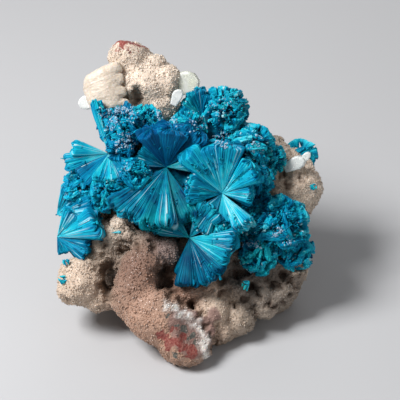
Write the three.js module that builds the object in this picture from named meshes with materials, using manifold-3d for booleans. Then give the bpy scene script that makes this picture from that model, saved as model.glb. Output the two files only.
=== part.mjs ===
// Cavansite on matrix: sprays of blue cavansite crystals on a lumpy, druse-coated piece of cavity lining from
// basalt, with a few pale stilbite crystals beside them. Millimetres, +Z up. It rests on a flat broken base.
//
// Everything is laid out in the frame of the crystal-bearing face: +X across it, +Y up it, +Z straight out.
// One group then leans that face back, so that the base comes to lie level at Z = 0.
import * as THREE from "three";
import { mergeVertices } from "three/addons/utils/BufferGeometryUtils.js";
import { ImprovedNoise } from "three/addons/math/ImprovedNoise.js";
import Module from "manifold-3d";

const wasm = await Module();
wasm.setup();

// Driving dimensions
const FACE_LEAN = 36; // degrees that the crystal face leans back from upright
const CONTACT_GAP = 0.3; // left between a crystal and the stone that it grew on
const STAND_SHIFT = { x: -0.1, y: -16.3 }; // brings the middle of the object's outline over the origin
const LARGEST_CHIP = 0.6; // cubic millimetres: scraps that a cut leaves behind are smaller than this

// How bumpy a lump is: bumps round its girth, and their height as a share of its roughness.
const BROAD_BUMPS = { pitch: 1.6, height: 1.2 };
const FINE_BUMPS = { pitch: 4.1, height: 0.8 };

// Sprays that are broken open, in degrees and millimetres, or as shares of a fan's length.
const SPRAY_DEPTH = 1.4; // thickness at the centre
const PLEAT_DROP = 7; // degrees that the creases between a fan's blades lie below their ridges
const GROOVE_DROP = 14; // degrees that the grooves between fans lie below them
const GROOVE_REACH = 0.8;
const RIDGE_REACH = { least: 0.94, most: 1.06 };
const CREASE_REACH = { least: 0.84, most: 0.94 };
const SLOPE_SCATTER = 1.5; // degrees
const STUB = { reach: 1.1, top: -12, bottom: -50, blades: 1 }; // closes a spray where it has no fan
const NARROWEST_STUB = 6; // degrees
const WIDEST_STUB = 80; // degrees

// Ball-shaped rosettes: how far their blade ends stand out, as shares of the radius.
const ROSETTE_CORE = 0.85;
const ROSETTE_TIPS = { least: 0.9, most: 1.2 };

// The stone's large masses. at is a lump's centre and size its half-lengths, both as [across, up, out].
const BODY_LUMPS = [
  { at: [1.5, 22, -12.5], size: [15.5, 14, 11], rough: 0.08, facets: 1 }, // middle, under the crystals
  { at: [0.5, 14, -11], size: [14.8, 12, 10.2], rough: 0.1, facets: 1 }, // foot
  { at: [0, 19, -19], size: [15, 12, 10], rough: 0.16, facets: 1 }, // back of the foot
  { at: [-5.4, 32.6, -9.8], size: [8, 9.4, 8.2], rough: 0.12, facets: 1 }, // upper left
  { at: [3.4, 32.2, -11], size: [9.5, 5.6, 7.8], rough: 0.1, facets: 1 }, // upper right
  { at: [14.2, 27.5, -12], size: [6.6, 7.2, 7.6], rough: 0.14, facets: 1 }, // right shoulder
  { at: [17.2, 27, -9.4], size: [4.3, 4.9, 4.9], rough: 0.14, facets: 1 }, // knuckle on it
  { at: [12.6, 32, -10.8], size: [5.2, 4.6, 5.4], rough: 0.12, facets: 0 }, // behind the upper right rosettes
  { at: [11.2, 13.6, -10], size: [8, 7.4, 7.4], rough: 0.12, facets: 1 }, // lower right
  { at: [-13, 24, -9], size: [5, 7, 7], rough: 0.12, facets: 1 }, // left flank
];

// The knob-like growths on the front and the top, each coated in fine druse.
const KNOB_LUMPS = [
  { at: [-8.2, 11, 0], size: [4, 4.5, 4.5], rough: 0.1, facets: 2 }, // boot, upper half
  { at: [-4.6, 7.4, 0.6], size: [6.2, 4.6, 4.6], turn: -38, rough: 0.08, facets: 2 }, // boot, middle
  { at: [-0.5, 4.2, 0.4], size: [5, 4.7, 4.5], turn: -42, rough: 0.1, facets: 2 }, // boot, broken toe
  { at: [-7, 14.9, 0.2], size: [3.4, 3.8, 3.4], turn: -25, rough: 0.1, facets: 1 }, // knob over the boot
  { at: [-16.4, 12.6, -3], size: [4.5, 4.2, 4.8], turn: 20, rough: 0.13, facets: 1 }, // left knob
  { at: [-14, 10.4, -3.8], size: [3.4, 3, 4], rough: 0.12, facets: 1 },
  { at: [-12.2, 18.4, -4.4], size: [3.3, 3.9, 3.6], rough: 0.12, facets: 1 }, // recessed nodules on the left
  { at: [-10.4, 16.2, -4.8], size: [3.4, 2.8, 3.2], rough: 0.12, facets: 1 },
  { at: [-9.8, 20.7, -1.4], size: [1.7, 3, 1.9], turn: 28, rough: 0.14, facets: 1 }, // pointed nodule
  { at: [-7, 18.7, -1.6], size: [2.4, 2, 2.2], rough: 0.16, facets: 1 },
  { at: [-3.6, 17.6, -1.4], size: [2.6, 2.3, 2.2], turn: -30, rough: 0.18, facets: 1 },
  { at: [-2, 11.6, -3.6], size: [3.1, 2.9, 3.2], rough: 0.1, facets: 1 }, // nodules in the lower middle
  { at: [0.2, 11, -1.4], size: [2.1, 2, 2.2], rough: 0.12, facets: 1 },
  { at: [4, 11.8, -2], size: [2.2, 1.9, 2.1], rough: 0.1, facets: 1 },
  { at: [3.8, 8, -1.8], size: [2.7, 3.2, 2.9], turn: 16, rough: 0.12, facets: 1 },
  { at: [7.4, 11.8, -3.4], size: [3, 2.7, 3], rough: 0.12, facets: 1 },
  { at: [8, 6.8, -4], size: [3.1, 2.9, 3.4], rough: 0.12, facets: 1 }, // ledge down to the foot
  { at: [4.8, 4.8, -3.4], size: [2.7, 2.4, 3.2], rough: 0.12, facets: 1 },
  { at: [11.6, 9.2, -5], size: [3.2, 2.8, 3.2], rough: 0.14, facets: 1 },
  { at: [14.8, 11.3, -6], size: [3, 2.6, 3.2], rough: 0.14, facets: 1 },
  { at: [16.8, 14.6, -5.8], size: [2.7, 2.7, 3.2], rough: 0.14, facets: 1 },
  { at: [-6.8, 43, -4.8], size: [5, 4.6, 4.2], rough: 0.15, facets: 1 }, // top knob
  { at: [-9, 47.5, -4.8], size: [3.7, 3.5, 3.4], rough: 0.12, facets: 1 }, // its red cap
  { at: [-3.9, 43.4, -4.8], size: [2.7, 3.3, 3.4], rough: 0.16, facets: 1 },
  { at: [-4.6, 39.6, -5], size: [3.8, 3.4, 3.6], rough: 0.16, facets: 1 },
  { at: [-3.2, 44.8, -4.8], size: [2, 1.9, 3], rough: 0.12, facets: 1 }, // square shoulder of the top knob
  { at: [-5.5, 46.6, -4.9], size: [2.5, 1.9, 2.8], rough: 0.12, facets: 1 },
];

// Hollows between the growths, and the shell-like break.
const PITS = [
  { at: [-7.7, 41.1, -0.8], size: [1.4, 2, 2.6], rough: 0.15, facets: 1 }, // under the top knob
  { at: [-0.8, 14.4, -0.8], size: [2.2, 1.5, 2.6], rough: 0.15, facets: 1 }, // beside the boot's knob
  { at: [-12.3, 13.4, -0.8], size: [1.1, 3.2, 3.2], rough: 0.12, facets: 1 }, // between boot and left knob
  { at: [4.6, 6.6, 9.2], size: [8, 8, 8], rough: 0.02, facets: 2 }, // shell-like break along the boot's toe
  { at: [-3.2, 12.8, 0.4], size: [1.5, 1, 2.6], rough: 0.12, facets: 1 }, // between boot and the next nodules
  { at: [13.4, 11.4, -3], size: [1.1, 0.8, 1.8], rough: 0.12, facets: 1 }, // small holes on the lower right
  { at: [15.4, 13.4, -3], size: [1.4, 0.8, 1.6], rough: 0.12, facets: 1 },
  { at: [10.6, 11.4, -2.2], size: [1.7, 0.8, 2], rough: 0.12, facets: 1 },
  { at: [10.2, 8.3, -2], size: [1.4, 0.6, 1.6], rough: 0.12, facets: 1 },
];

// Flat breaks, where the piece came off the cavity's wall or was knocked. facing is the outward normal.
const BREAKS = [
  { at: [0, 18, -25.4], facing: [0.04, 0.46, -0.88] }, // back
  { at: [-13.6, 22, -17], facing: [-0.72, 0.26, -0.64] }, // back left
  { at: [15.4, 22, -18], facing: [0.74, 0.2, -0.64] }, // back right
  { at: [0, 40, -15.5], facing: [0, 0.55, -0.83] }, // back top
  { at: [-9, 50.1, -4.6], facing: [0.16, 0.95, 0.26] }, // red cap
  { at: [21.9, 25, -10], facing: [0.97, 0.1, 0.2] }, // right edge
];

// Mats of blue crystal that carry the sprays.
const CRYSTAL_BEDS = [
  { at: [4, 25, -2.4], size: [10, 8.2, 3.2], rough: 0.1, facets: 0 },
  { at: [-6, 28, -3], size: [8.5, 7.4, 3.6], rough: 0.1, facets: 0 },
  { at: [-15.4, 24, -4.6], size: [4.2, 6.6, 3.6], rough: 0.1, facets: 0 },
  { at: [3, 35.6, -4.6], size: [8, 4.4, 3], rough: 0.1, facets: 0 },
  { at: [12.4, 20.4, -4.6], size: [5.4, 6.2, 3.2], rough: 0.1, facets: 0 },
];

// Sprays broken open, their blades fanning out from a visible centre. A fan runs from one angle to another in
// the face, anticlockwise from +X. Its blades rise out of the face to top and go down into it to bottom.
const OPEN_SPRAYS = [
  {
    at: [5.4, 26.3, 1.6], // bright star right of the middle
    fans: [
      { from: 100, to: 142, reach: 7.6, top: 22, bottom: -28, blades: 4 },
      { from: 72, to: 99, reach: 7.1, top: 26, bottom: -25, blades: 3 },
      { from: 20, to: 58, reach: 6.8, top: 30, bottom: -28, blades: 4 },
      { from: -22, to: 16, reach: 5, top: 24, bottom: -30, blades: 3 },
      { from: -57, to: -42, reach: 6.9, top: 33, bottom: -20, blades: 2 },
      { from: -72, to: -57, reach: 7, top: 30, bottom: -22, blades: 2 },
      { from: -102, to: -74, reach: 9, top: 16, bottom: -22, blades: 3 },
      { from: -150, to: -106, reach: 6.6, top: 12, bottom: -30, blades: 3 },
      { from: 150, to: 196, reach: 6, top: 20, bottom: -30, blades: 4 },
    ],
  },
  {
    at: [0.3, 19.5, 1.8], // low middle
    fans: [
      { from: -38, to: 8, reach: 7, top: 20, bottom: -30, blades: 4 },
      { from: -74, to: -38, reach: 7.8, top: 14, bottom: -30, blades: 4 },
      { from: -106, to: -74, reach: 7, top: 4, bottom: -34, blades: 3 },
      { from: 118, to: 172, reach: 5.2, top: 10, bottom: -30, blades: 3 },
      { from: 28, to: 76, reach: 6, top: 12, bottom: -24, blades: 3 },
    ],
  },
  {
    at: [-3.3, 30.4, 0.2], // middle left, its blades hanging down
    fans: [
      { from: -80, to: -56, reach: 9.2, top: 20, bottom: -16, blades: 3 },
      { from: -97, to: -80, reach: 10, top: 27, bottom: -12, blades: 2 },
      { from: -114, to: -97, reach: 10.4, top: 24, bottom: -12, blades: 2 },
      { from: -131, to: -114, reach: 10.8, top: 19, bottom: -14, blades: 2 },
      { from: -152, to: -131, reach: 10.6, top: 12, bottom: -16, blades: 3 },
      { from: 94, to: 126, reach: 7.4, top: 38, bottom: -16, blades: 3 },
      { from: 62, to: 94, reach: 7, top: 42, bottom: -16, blades: 3 },
      { from: 34, to: 62, reach: 8.4, top: 26, bottom: -16, blades: 3 },
      { from: -8, to: 20, reach: 6.2, top: 22, bottom: -20, blades: 3 },
    ],
  },
  {
    at: [-12.2, 32.5, -0.4], // left
    fans: [
      { from: 92, to: 108, reach: 9.2, top: 21, bottom: -24, blades: 2 },
      { from: 160, to: 182, reach: 5.8, top: 16, bottom: -30, blades: 2 },
      { from: 182, to: 204, reach: 7.3, top: 4, bottom: -34, blades: 2 },
      { from: 204, to: 238, reach: 5.6, top: 8, bottom: -34, blades: 3 },
      { from: 240, to: 288, reach: 5.2, top: 34, bottom: -28, blades: 4 },
      { from: -70, to: -18, reach: 5.4, top: 30, bottom: -30, blades: 4 },
    ],
  },
  {
    at: [-20, 19.5, -2], // far left, a broken corner
    fans: [
      { from: 38, to: 72, reach: 5.4, top: 24, bottom: -34, blades: 3 },
      { from: 4, to: 38, reach: 7.4, top: 28, bottom: -30, blades: 4 },
      { from: -44, to: 4, reach: 5.6, top: 14, bottom: -34, blades: 4 },
      { from: -84, to: -44, reach: 2.8, top: 8, bottom: -30, blades: 2 },
    ],
  },
  {
    at: [-20, 23, -2.4], // far left, above it
    fans: [
      { from: 40, to: 76, reach: 5, top: 16, bottom: -34, blades: 3 },
      { from: -14, to: 40, reach: 6.2, top: 20, bottom: -30, blades: 4 },
    ],
  },
  {
    at: [2.3, 38.3, -3], // top, beside the pale blade
    fans: [
      { from: 84, to: 124, reach: 4.6, top: 30, bottom: -30, blades: 3 },
      { from: 44, to: 84, reach: 4.4, top: 34, bottom: -30, blades: 3 },
      { from: 124, to: 170, reach: 4, top: 26, bottom: -30, blades: 3 },
    ],
  },
];

// Rosettes seen from the ends of their blades. radius is the middle of the spikes. Fine ones have more.
const ROSETTES = [
  { at: [-10.2, 36.8, -1], radius: 3.5, fine: true }, // upper left
  { at: [-6.6, 37.6, -2], radius: 2.6 },
  { at: [-10.4, 33.4, 0.2], radius: 2 },
  { at: [-8.4, 29.2, 0], radius: 2.7 }, // left of the middle
  { at: [-12.2, 26.6, -0.8], radius: 3 },
  { at: [-16.6, 27.2, -2.6], radius: 2.9 },
  { at: [0, 36.2, -2], radius: 2.8 }, // top
  { at: [5.8, 39.4, -3.4], radius: 3.6, fine: true },
  { at: [10, 33.6, -2.8], radius: 3.6 }, // upper right
  { at: [13, 31.8, -4.2], radius: 2.4 },
  { at: [10.6, 28.5, -1.8], radius: 2.9 },
  { at: [14.4, 21.4, -2.8], radius: 4.6, fine: true }, // right
  { at: [17, 17, -4.2], radius: 2.8 },
  { at: [11, 16.6, -2.2], radius: 2.9 },
];

const FAR_SPRAY = { at: [18.2, 32.6, -12.4], radius: 2.5 }; // on the back of the right shoulder

const SPECKS = [
  { at: [-18.8, 15.7, -0.3], radius: 0.5 }, // on the left knob
  { at: [-19.3, 13, 0.5], radius: 0.55 },
  { at: [9, 12.1, -0.2], radius: 0.6 }, // on the lower right
  { at: [19.9, 27.4, -5], radius: 0.5 }, // on the right knuckle
];

// Pale stilbite crystals: flat blades with a blunt chisel end. size is [width, length, thickness]. The blade
// points along its length, turned in the face and then tipped out of it.
const STILBITE_BLADES = {
  stilbite_blade_top: { at: [-0.2, 43.3, -4.4], size: [3.4, 4.2, 1.4], turn: -62, tip: 12 },
  stilbite_blade_small: { at: [-1.8, 41.3, -1.2], size: [1.3, 2.6, 0.9], turn: -18, tip: 10 },
  stilbite_tip_left: { at: [-15.4, 40.4, -3.8], size: [1.9, 3, 1.1], turn: 116, tip: -6 },
  stilbite_blade_right: { at: [17.2, 31.2, -5.2], size: [1.7, 4.6, 1.2], turn: -60, tip: 14 },
};
const BLADE_OUTLINE = [
  // corners as shares of the blade's width and length
  [-0.28, -0.5],
  [0.28, -0.5],
  [0.5, 0.22],
  [0.22, 0.5],
  [-0.18, 0.46],
  [-0.5, 0.16],
];
const BLADE_BEVEL = { height: 0.3, width: 0.24 }; // as shares of the blade's thickness

// A stilbite sheaf: thick lamellae side by side, spread like a bow tie.
const SHEAF = {
  at: [-12.5, 42.6, -2.4],
  lamellae: 4,
  thickness: 1.2, // of one lamella
  overlap: 1.25, // they are this much thicker than they are apart
  length: 7.8, // of the middle ones
  depth: 4.6,
  shortening: 0.24, // how much shorter the outer ones are
  spread: 26, // degrees between the outer ones
  turn: 14,
  sides: 7, // of a lamella's outline
};

const noise = new ImprovedNoise();
const noiseAt = (point) => noise.noise(point.x, point.y, point.z);
const degrees = THREE.MathUtils.degToRad;
const between = ({ least, most }, share) => least + (most - least) * share;

// The same numbers from 0 to 1 on every run, for one seed.
function randomFrom(seed) {
  let state = Math.round(seed * 7919) + 1;
  return () => {
    state = (state * 16807) % 2147483647;
    return state / 2147483647;
  };
}

// A closed three.js geometry as a solid that can be joined and cut.
function solidOf(geometry) {
  const bare = geometry.clone();
  bare.deleteAttribute("normal");
  bare.deleteAttribute("uv");
  const merged = mergeVertices(bare, 1e-4);
  const vertProperties = new Float32Array(merged.attributes.position.array);
  const triVerts = new Uint32Array(merged.index.array);
  return new wasm.Manifold(new wasm.Mesh({ numProp: 3, vertProperties, triVerts }));
}

// A solid back as a three.js geometry with flat faces.
function geometryOf(solid) {
  const mesh = solid.getMesh();
  const geometry = new THREE.BufferGeometry();
  geometry.setAttribute("position", new THREE.BufferAttribute(new Float32Array(mesh.vertProperties), 3));
  geometry.setIndex(new THREE.BufferAttribute(new Uint32Array(mesh.triVerts), 1));
  const flat = geometry.toNonIndexed();
  flat.computeVertexNormals();
  return flat;
}

function join(solids) {
  return wasm.Manifold.union(solids);
}

// A rounded lump with flat facets, pushed in and out by noise. grow makes it larger all round.
function lump({ at, size, turn = 0, rough, facets }, grow = 0) {
  const geometry = new THREE.IcosahedronGeometry(1, facets);
  const position = geometry.attributes.position;
  const centre = new THREE.Vector3(...at);
  const corner = new THREE.Vector3();
  for (let i = 0; i < position.count; i++) {
    corner.fromBufferAttribute(position, i).normalize();
    const broad = noiseAt(corner.clone().multiplyScalar(BROAD_BUMPS.pitch).add(centre));
    const fine = noiseAt(corner.clone().multiplyScalar(FINE_BUMPS.pitch).sub(centre));
    const reach = 1 + rough * (broad * BROAD_BUMPS.height + fine * FINE_BUMPS.height);
    position.setXYZ(
      i,
      corner.x * (size[0] * reach + grow),
      corner.y * (size[1] * reach + grow),
      corner.z * (size[2] * reach + grow),
    );
  }
  geometry.rotateZ(degrees(turn));
  geometry.translate(...at);
  return solidOf(geometry);
}

// The space on the outer side of a flat break through a point.
function spaceBeyond({ at, facing }) {
  const side = 160;
  const block = new THREE.BoxGeometry(side, side, side);
  block.translate(0, 0, side / 2);
  const outward = new THREE.Vector3(...facing).normalize();
  block.applyQuaternion(new THREE.Quaternion().setFromUnitVectors(new THREE.Vector3(0, 0, 1), outward));
  block.translate(...at);
  return solidOf(block);
}

// The level that the stone rests on passes through the face's lowest point.
function spaceBelowBase() {
  const lean = degrees(FACE_LEAN);
  return spaceBeyond({ at: [0, 0, 0], facing: [0, -Math.cos(lean), -Math.sin(lean)] });
}

// The fans of a spray in order round its centre, with short stubs of crystal where no fan stands.
function ringOf(fans) {
  const ring = [];
  const sorted = [...fans].sort((a, b) => a.from - b.from);
  sorted.forEach((each, i) => {
    ring.push(each);
    const next = i + 1 < sorted.length ? sorted[i + 1].from : sorted[0].from + 360;
    const stubs = next - each.to > NARROWEST_STUB ? Math.ceil((next - each.to) / WIDEST_STUB) : 0;
    const width = (next - each.to) / stubs;
    for (let k = 0; k < stubs; k++) {
      ring.push({ ...STUB, from: each.to + width * k, to: each.to + width * (k + 1) });
    }
  });
  return ring;
}

// A point of a spray at an angle in the face, a slope out of it and a distance from the centre.
function rayEnd(angle, slope, length) {
  const flat = length * Math.cos(degrees(slope));
  const rise = length * Math.sin(degrees(slope));
  return [flat * Math.cos(degrees(angle)), flat * Math.sin(degrees(angle)), rise];
}

// A spray broken open: pleated fans of wedge-shaped blades round one centre, with a groove between fans.
function openSpray({ at, fans }, seed) {
  const random = randomFrom(seed);
  const ring = ringOf(fans);
  const centre = [0, 0, 0];
  const under = [0, 0, -SPRAY_DEPTH];
  const grooves = ring.map((each, k) => {
    const next = ring[(k + 1) % ring.length];
    const reach = Math.min(each.reach, next.reach);
    const top = Math.min(each.top, next.top) - GROOVE_DROP;
    const bottom = Math.max(each.bottom, next.bottom);
    return {
      upper: rayEnd(each.to, top, reach * GROOVE_REACH),
      lower: rayEnd(each.to, bottom, reach * GROOVE_REACH),
    };
  });
  const faces = [];
  ring.forEach(({ from, to, reach, top, blades }, k) => {
    const left = grooves[(k + ring.length - 1) % ring.length];
    const right = grooves[k];
    const rim = [left.upper];
    for (let i = 0; i < 2 * blades - 1; i++) {
      const isRidge = i % 2 === 0;
      const angle = from + ((to - from) * (i + 1)) / (2 * blades);
      const length = reach * between(isRidge ? RIDGE_REACH : CREASE_REACH, random());
      const slope = top + SLOPE_SCATTER * (2 * random() - 1) - (isRidge ? 0 : PLEAT_DROP);
      rim.push(rayEnd(angle, slope, length));
    }
    rim.push(right.upper);
    const middle = Math.floor(rim.length / 2);
    for (let i = 0; i + 1 < rim.length; i++) {
      faces.push(centre, rim[i], rim[i + 1]);
      faces.push(rim[i], i < middle ? left.lower : right.lower, rim[i + 1]);
    }
    faces.push(rim[middle], left.lower, right.lower, under, right.lower, left.lower);
  });
  const geometry = new THREE.BufferGeometry();
  geometry.setAttribute("position", new THREE.Float32BufferAttribute(faces.flat(), 3));
  geometry.translate(...at);
  return solidOf(geometry);
}

// A ball of blades seen from their ends: each facet of a ball rises to a point of its own.
function rosette({ at, radius, fine = false }) {
  const random = randomFrom(at[0] + at[1]);
  const core = radius * ROSETTE_CORE;
  const turned = fine ? new THREE.OctahedronGeometry(core, 1) : new THREE.IcosahedronGeometry(core, 0);
  turned.rotateX(degrees(360 * random()));
  turned.rotateY(degrees(360 * random()));
  const ball = turned.attributes.position;
  const corners = [0, 1, 2].map(() => new THREE.Vector3());
  const faces = [];
  for (let i = 0; i < ball.count; i += 3) {
    corners.forEach((corner, k) => corner.fromBufferAttribute(ball, i + k));
    const tip = new THREE.Vector3().add(corners[0]).add(corners[1]).add(corners[2]);
    tip.setLength(radius * between(ROSETTE_TIPS, random()));
    for (let k = 0; k < 3; k++) faces.push(corners[k].clone(), corners[(k + 1) % 3].clone(), tip);
  }
  const geometry = new THREE.BufferGeometry().setFromPoints(faces);
  geometry.translate(...at);
  return solidOf(geometry);
}

// A flat pale crystal: a six-sided outline with a chisel end, bevelled on both faces.
function stilbiteBlade({ at, size: [width, length, thickness], turn, tip }) {
  const corners = BLADE_OUTLINE.map(([x, y]) => new THREE.Vector2(x * width, y * length));
  const bevel = thickness * BLADE_BEVEL.height;
  const geometry = new THREE.ExtrudeGeometry(new THREE.Shape(corners), {
    depth: thickness - 2 * bevel,
    bevelThickness: bevel,
    bevelSize: thickness * BLADE_BEVEL.width,
    bevelOffset: -thickness * BLADE_BEVEL.width,
    bevelSegments: 1,
  });
  geometry.translate(0, 0, bevel - thickness / 2);
  geometry.rotateX(degrees(tip));
  geometry.rotateZ(degrees(turn));
  geometry.translate(...at);
  return solidOf(geometry);
}

// The sheaf's lamellae, joined. grow makes it larger all round.
function sheaf(grow = 0) {
  const { at, lamellae, thickness, overlap, length, depth, shortening, spread, turn, sides } = SHEAF;
  const plates = [];
  for (let i = 0; i < lamellae; i++) {
    const share = i / (lamellae - 1) - 0.5;
    const fullness = 1 - shortening * Math.abs(share);
    const plate = new THREE.CylinderGeometry(1, 1, thickness * overlap + 2 * grow, sides);
    plate.scale((length / 2) * fullness + grow, 1, (depth / 2) * fullness + grow);
    plate.rotateZ(degrees(share * spread));
    plate.translate(0, share * thickness * lamellae, 0);
    plates.push(solidOf(plate));
  }
  return join(plates).rotate([0, 0, turn]).translate(at);
}

// The largest body that a cut leaves. Only chips may be lost.
function mainBody(solid, name) {
  const bodies = solid.decompose().sort((a, b) => b.volume() - a.volume());
  const lost = bodies.slice(1).filter((body) => body.volume() > LARGEST_CHIP);
  if (lost.length) throw new Error(name + " falls into " + (lost.length + 1) + " pieces");
  return bodies[0];
}

// The whole stone before it is broken and pitted.
function stoneSolid(grow) {
  return join([...BODY_LUMPS, ...KNOB_LUMPS].map((each) => lump(each, grow)));
}

function material(colour, roughness) {
  return new THREE.MeshStandardMaterial({ color: colour, roughness, metalness: 0, flatShading: true });
}

const LOOKS = {
  matrix: material(0xb09c8b, 0.85),
  cavansite: material(0x0787b0, 0.35),
  stilbite: material(0xe2ddd0, 0.3),
};

function buildSpecimen() {
  const pits = PITS.map((pit) => lump(pit));
  const breaks = BREAKS.map((each) => spaceBeyond(each));
  const stone = stoneSolid(0).subtract(join([...pits, ...breaks, spaceBelowBase()]));
  const stoneAndGap = stoneSolid(CONTACT_GAP);

  const beds = CRYSTAL_BEDS.map((bed) => lump(bed));
  const sprays = OPEN_SPRAYS.map((each, k) => openSpray(each, k + 1));
  const rosettes = ROSETTES.map((each) => rosette(each));
  const blue = join([...beds, ...sprays, ...rosettes]).subtract(stoneAndGap);
  const cluster = mainBody(blue, "cavansite_cluster");

  const specimen = new THREE.Group();
  const place = (name, solid, look) => {
    const mesh = new THREE.Mesh(geometryOf(mainBody(solid, name)), look);
    mesh.name = name;
    specimen.add(mesh);
  };
  place("matrix", stone, LOOKS.matrix);
  place("cavansite_cluster", cluster, LOOKS.cavansite);
  place("cavansite_far_spray", rosette(FAR_SPRAY).subtract(stoneAndGap), LOOKS.cavansite);
  SPECKS.forEach((speck, i) => {
    place("cavansite_speck_" + (i + 1), rosette(speck).subtract(stoneAndGap), LOOKS.cavansite);
  });

  const bedsAndGap = CRYSTAL_BEDS.map((bed) => lump(bed, CONTACT_GAP));
  const taken = join([stoneAndGap, ...bedsAndGap, cluster]);
  place("stilbite_sheaf", sheaf().subtract(taken), LOOKS.stilbite);
  const takenBesideSheaf = taken.add(sheaf(CONTACT_GAP));
  for (const [name, blade] of Object.entries(STILBITE_BLADES)) {
    place(name, stilbiteBlade(blade).subtract(takenBesideSheaf), LOOKS.stilbite);
  }
  specimen.rotation.x = degrees(90 - FACE_LEAN);
  specimen.position.set(STAND_SHIFT.x, STAND_SHIFT.y, 0);
  return specimen;
}

const cavansiteOnMatrix = new THREE.Group();
cavansiteOnMatrix.add(buildSpecimen());

export default cavansiteOnMatrix;
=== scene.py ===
"""Cavansite on matrix: the finished surfaces of a blue crystal specimen, made round its solid model.

Lengths are metres. Places on the specimen are written in millimetres in the frame of its crystal-bearing
face: x across it, y up it and z straight out of it. from_face() turns them into the specimen's own frame.
"""

import math

import bmesh
import bpy
import numpy as np
from bpy.props import BoolProperty, FloatProperty, FloatVectorProperty, IntProperty, PointerProperty
from bpy.types import Operator, Panel, PropertyGroup
from mathutils import Matrix, Vector, noise


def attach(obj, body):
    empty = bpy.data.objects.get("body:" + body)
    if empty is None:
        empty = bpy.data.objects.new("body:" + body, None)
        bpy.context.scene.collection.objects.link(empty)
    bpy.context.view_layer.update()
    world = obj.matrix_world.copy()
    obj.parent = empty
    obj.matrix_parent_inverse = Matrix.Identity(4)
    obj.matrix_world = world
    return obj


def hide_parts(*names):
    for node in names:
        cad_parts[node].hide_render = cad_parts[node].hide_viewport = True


bl_info = {
    "name": "Cavansite on Matrix",
    "version": (1, 0, 0),
    "blender": (4, 5, 0),
    "location": "3D View > Sidebar > Specimen",
    "description": "Druse-coated stone, blue crystal sprays and pale crystals round a solid model",
    "category": "Add Mesh",
}

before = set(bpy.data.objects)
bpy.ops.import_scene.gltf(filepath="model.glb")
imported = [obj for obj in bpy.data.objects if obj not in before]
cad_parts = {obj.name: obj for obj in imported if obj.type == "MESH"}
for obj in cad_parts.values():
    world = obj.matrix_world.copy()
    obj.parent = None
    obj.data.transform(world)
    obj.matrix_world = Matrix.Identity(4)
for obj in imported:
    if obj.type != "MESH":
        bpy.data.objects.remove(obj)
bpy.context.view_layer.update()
noise.seed_set(1)  # without it noise_vector() follows the clock, and each run differs

MM = 0.001
FACE_LEAN = 36  # degrees that the crystal face leans back from upright
STAND_SHIFT = (-0.1, -16.3, 0)  # millimetres, from the face's lowest point to the specimen's origin
BODY = "root"

# The photograph's view: a point in front of the face, looking straight at it.
CAMERA_AT = (1.94, 25.3, 260)
VIEW_WIDTH = 62  # millimetres across the picture at the face
SENSOR_WIDTH = 36

# Where each tint of the stone's coat is strongest: place, reach, name of the tint's setting.
TINT_SPOTS = [
    ((-8, 44, -3), 7.5, "cream"),  # top knob
    ((-4, 43, -3), 6.0, "cream"),
    # painted shade below the top knob
    ((-4.2, 39.8, -3), 2.6, "grey_and_shade"),
    ((-6, 8, 2), 6.0, "pink"),  # boot
    ((-1, 4, 2), 5.0, "pink"),
    # painted shade on the boot's upper end; the next spot is the brownish nodule by the boot
    ((-8, 13.8, 1.5), 5.0, "brown_and_shade"),
    ((0, 10.5, -1), 3.0, "brown_and_shade"),
    ((-11.0, 20.8, -1.0), 1.7, "cream"),  # pale wedge under the left fans
    ((-16.4, 12.6, -1), 5.0, "sand"),  # left knob
    ((-11, 18, -3), 4.0, "grey_and_shade"),  # recessed nodules
    ((4, 8.5, -1), 3.4, "sand"),
    ((11, 12.4, -4), 4.2, "foot_shade"),  # lower right: painted shade
    ((15.5, 11.5, -6), 3.0, "foot_shade"),
    ((8, 13.6, -2), 3.0, "foot_shade"),
    # painted shade on the lower right
    ((13, 8, -6), 5.0, "grey_and_shade"),
    ((-6.0, 20.0, -2.6), 2.0, "plum"),
    ((16, 28, -8), 6.0, "sand"),  # right shoulder
    ((19.6, 26.0, -7), 2.2, "cream"),
    ((18.4, 31.0, -8), 3.2, "cream"),
    ((20.6, 28.4, -9), 3.6, "cream"),
    ((20.2, 24.4, -8), 2.4, "cream"),
    ((-1.4, 12.6, -2.5), 2.4, "pink"),  # nodules right of the boot
    ((3.4, 12.0, -2.0), 1.8, "pink"),
    ((14.2, 34.6, -8), 2.8, "cream"),
    ((16.6, 29.6, -7), 1.6, "cream"),
    ((20.0, 12.6, -7), 2.0, "cream"),  # right end of the foot
    ((-3.6, 17.6, -0.4), 2.4, "plum"),  # dark pitted nodule
]
# Iron-stained broken spots: place, reach.
RED_SPOTS = [
    ((-9.2, 50.7, -3.4), 3.7),  # cap of the top knob
    ((-7.2, 50.2, -3.6), 2.2),
    ((-15.1, 11.6, 3.2), 1.2),  # left knob
    ((20.2, 22.6, -8), 1.6),  # right edge
    ((-2.4, 8.6, -1.6), 0.8),
]
# The shell-like break on the boot's toe: the ball that it follows, and the middle and reach of the break.
TOE_BREAK = {"centre": (4.6, 6.6, 9.2), "radius": 8.0, "at": (-0.4, 5.2, 2.8), "reach": 6.4}
# What shows on the break, seen from the front: x, y, reach.
TOE_RED = [
    (-3.9, 4.6, 1.2), (-2.6, 3.6, 1.3), (-1.2, 3.4, 1.2), (0.4, 1.9, 1.1),
    (-0.2, 2.9, 0.8), (-2.4, 5.8, 0.5), (-0.5, 4.5, 0.6), (1.1, 2.7, 0.6),
]
TOE_BASALT = [
    (-1.7, 6.3, 0.6), (-0.6, 5.4, 0.7), (0.5, 4.3, 0.7),
    (1.4, 3.3, 0.5), (-1.7, 1.6, 0.5), (-2.9, 7.6, 0.4),
]
TOE_RIM = [
    (-3.3, 9.4, 0.6), (-2.2, 8.8, 0.6), (-1.0, 8.1, 0.6), (0.2, 7.2, 0.65), (1.3, 6.2, 0.7),
    (2.1, 5.1, 0.7), (2.6, 3.8, 0.8), (2.8, 2.5, 0.8), (2.8, 1.2, 0.8),
]
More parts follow.
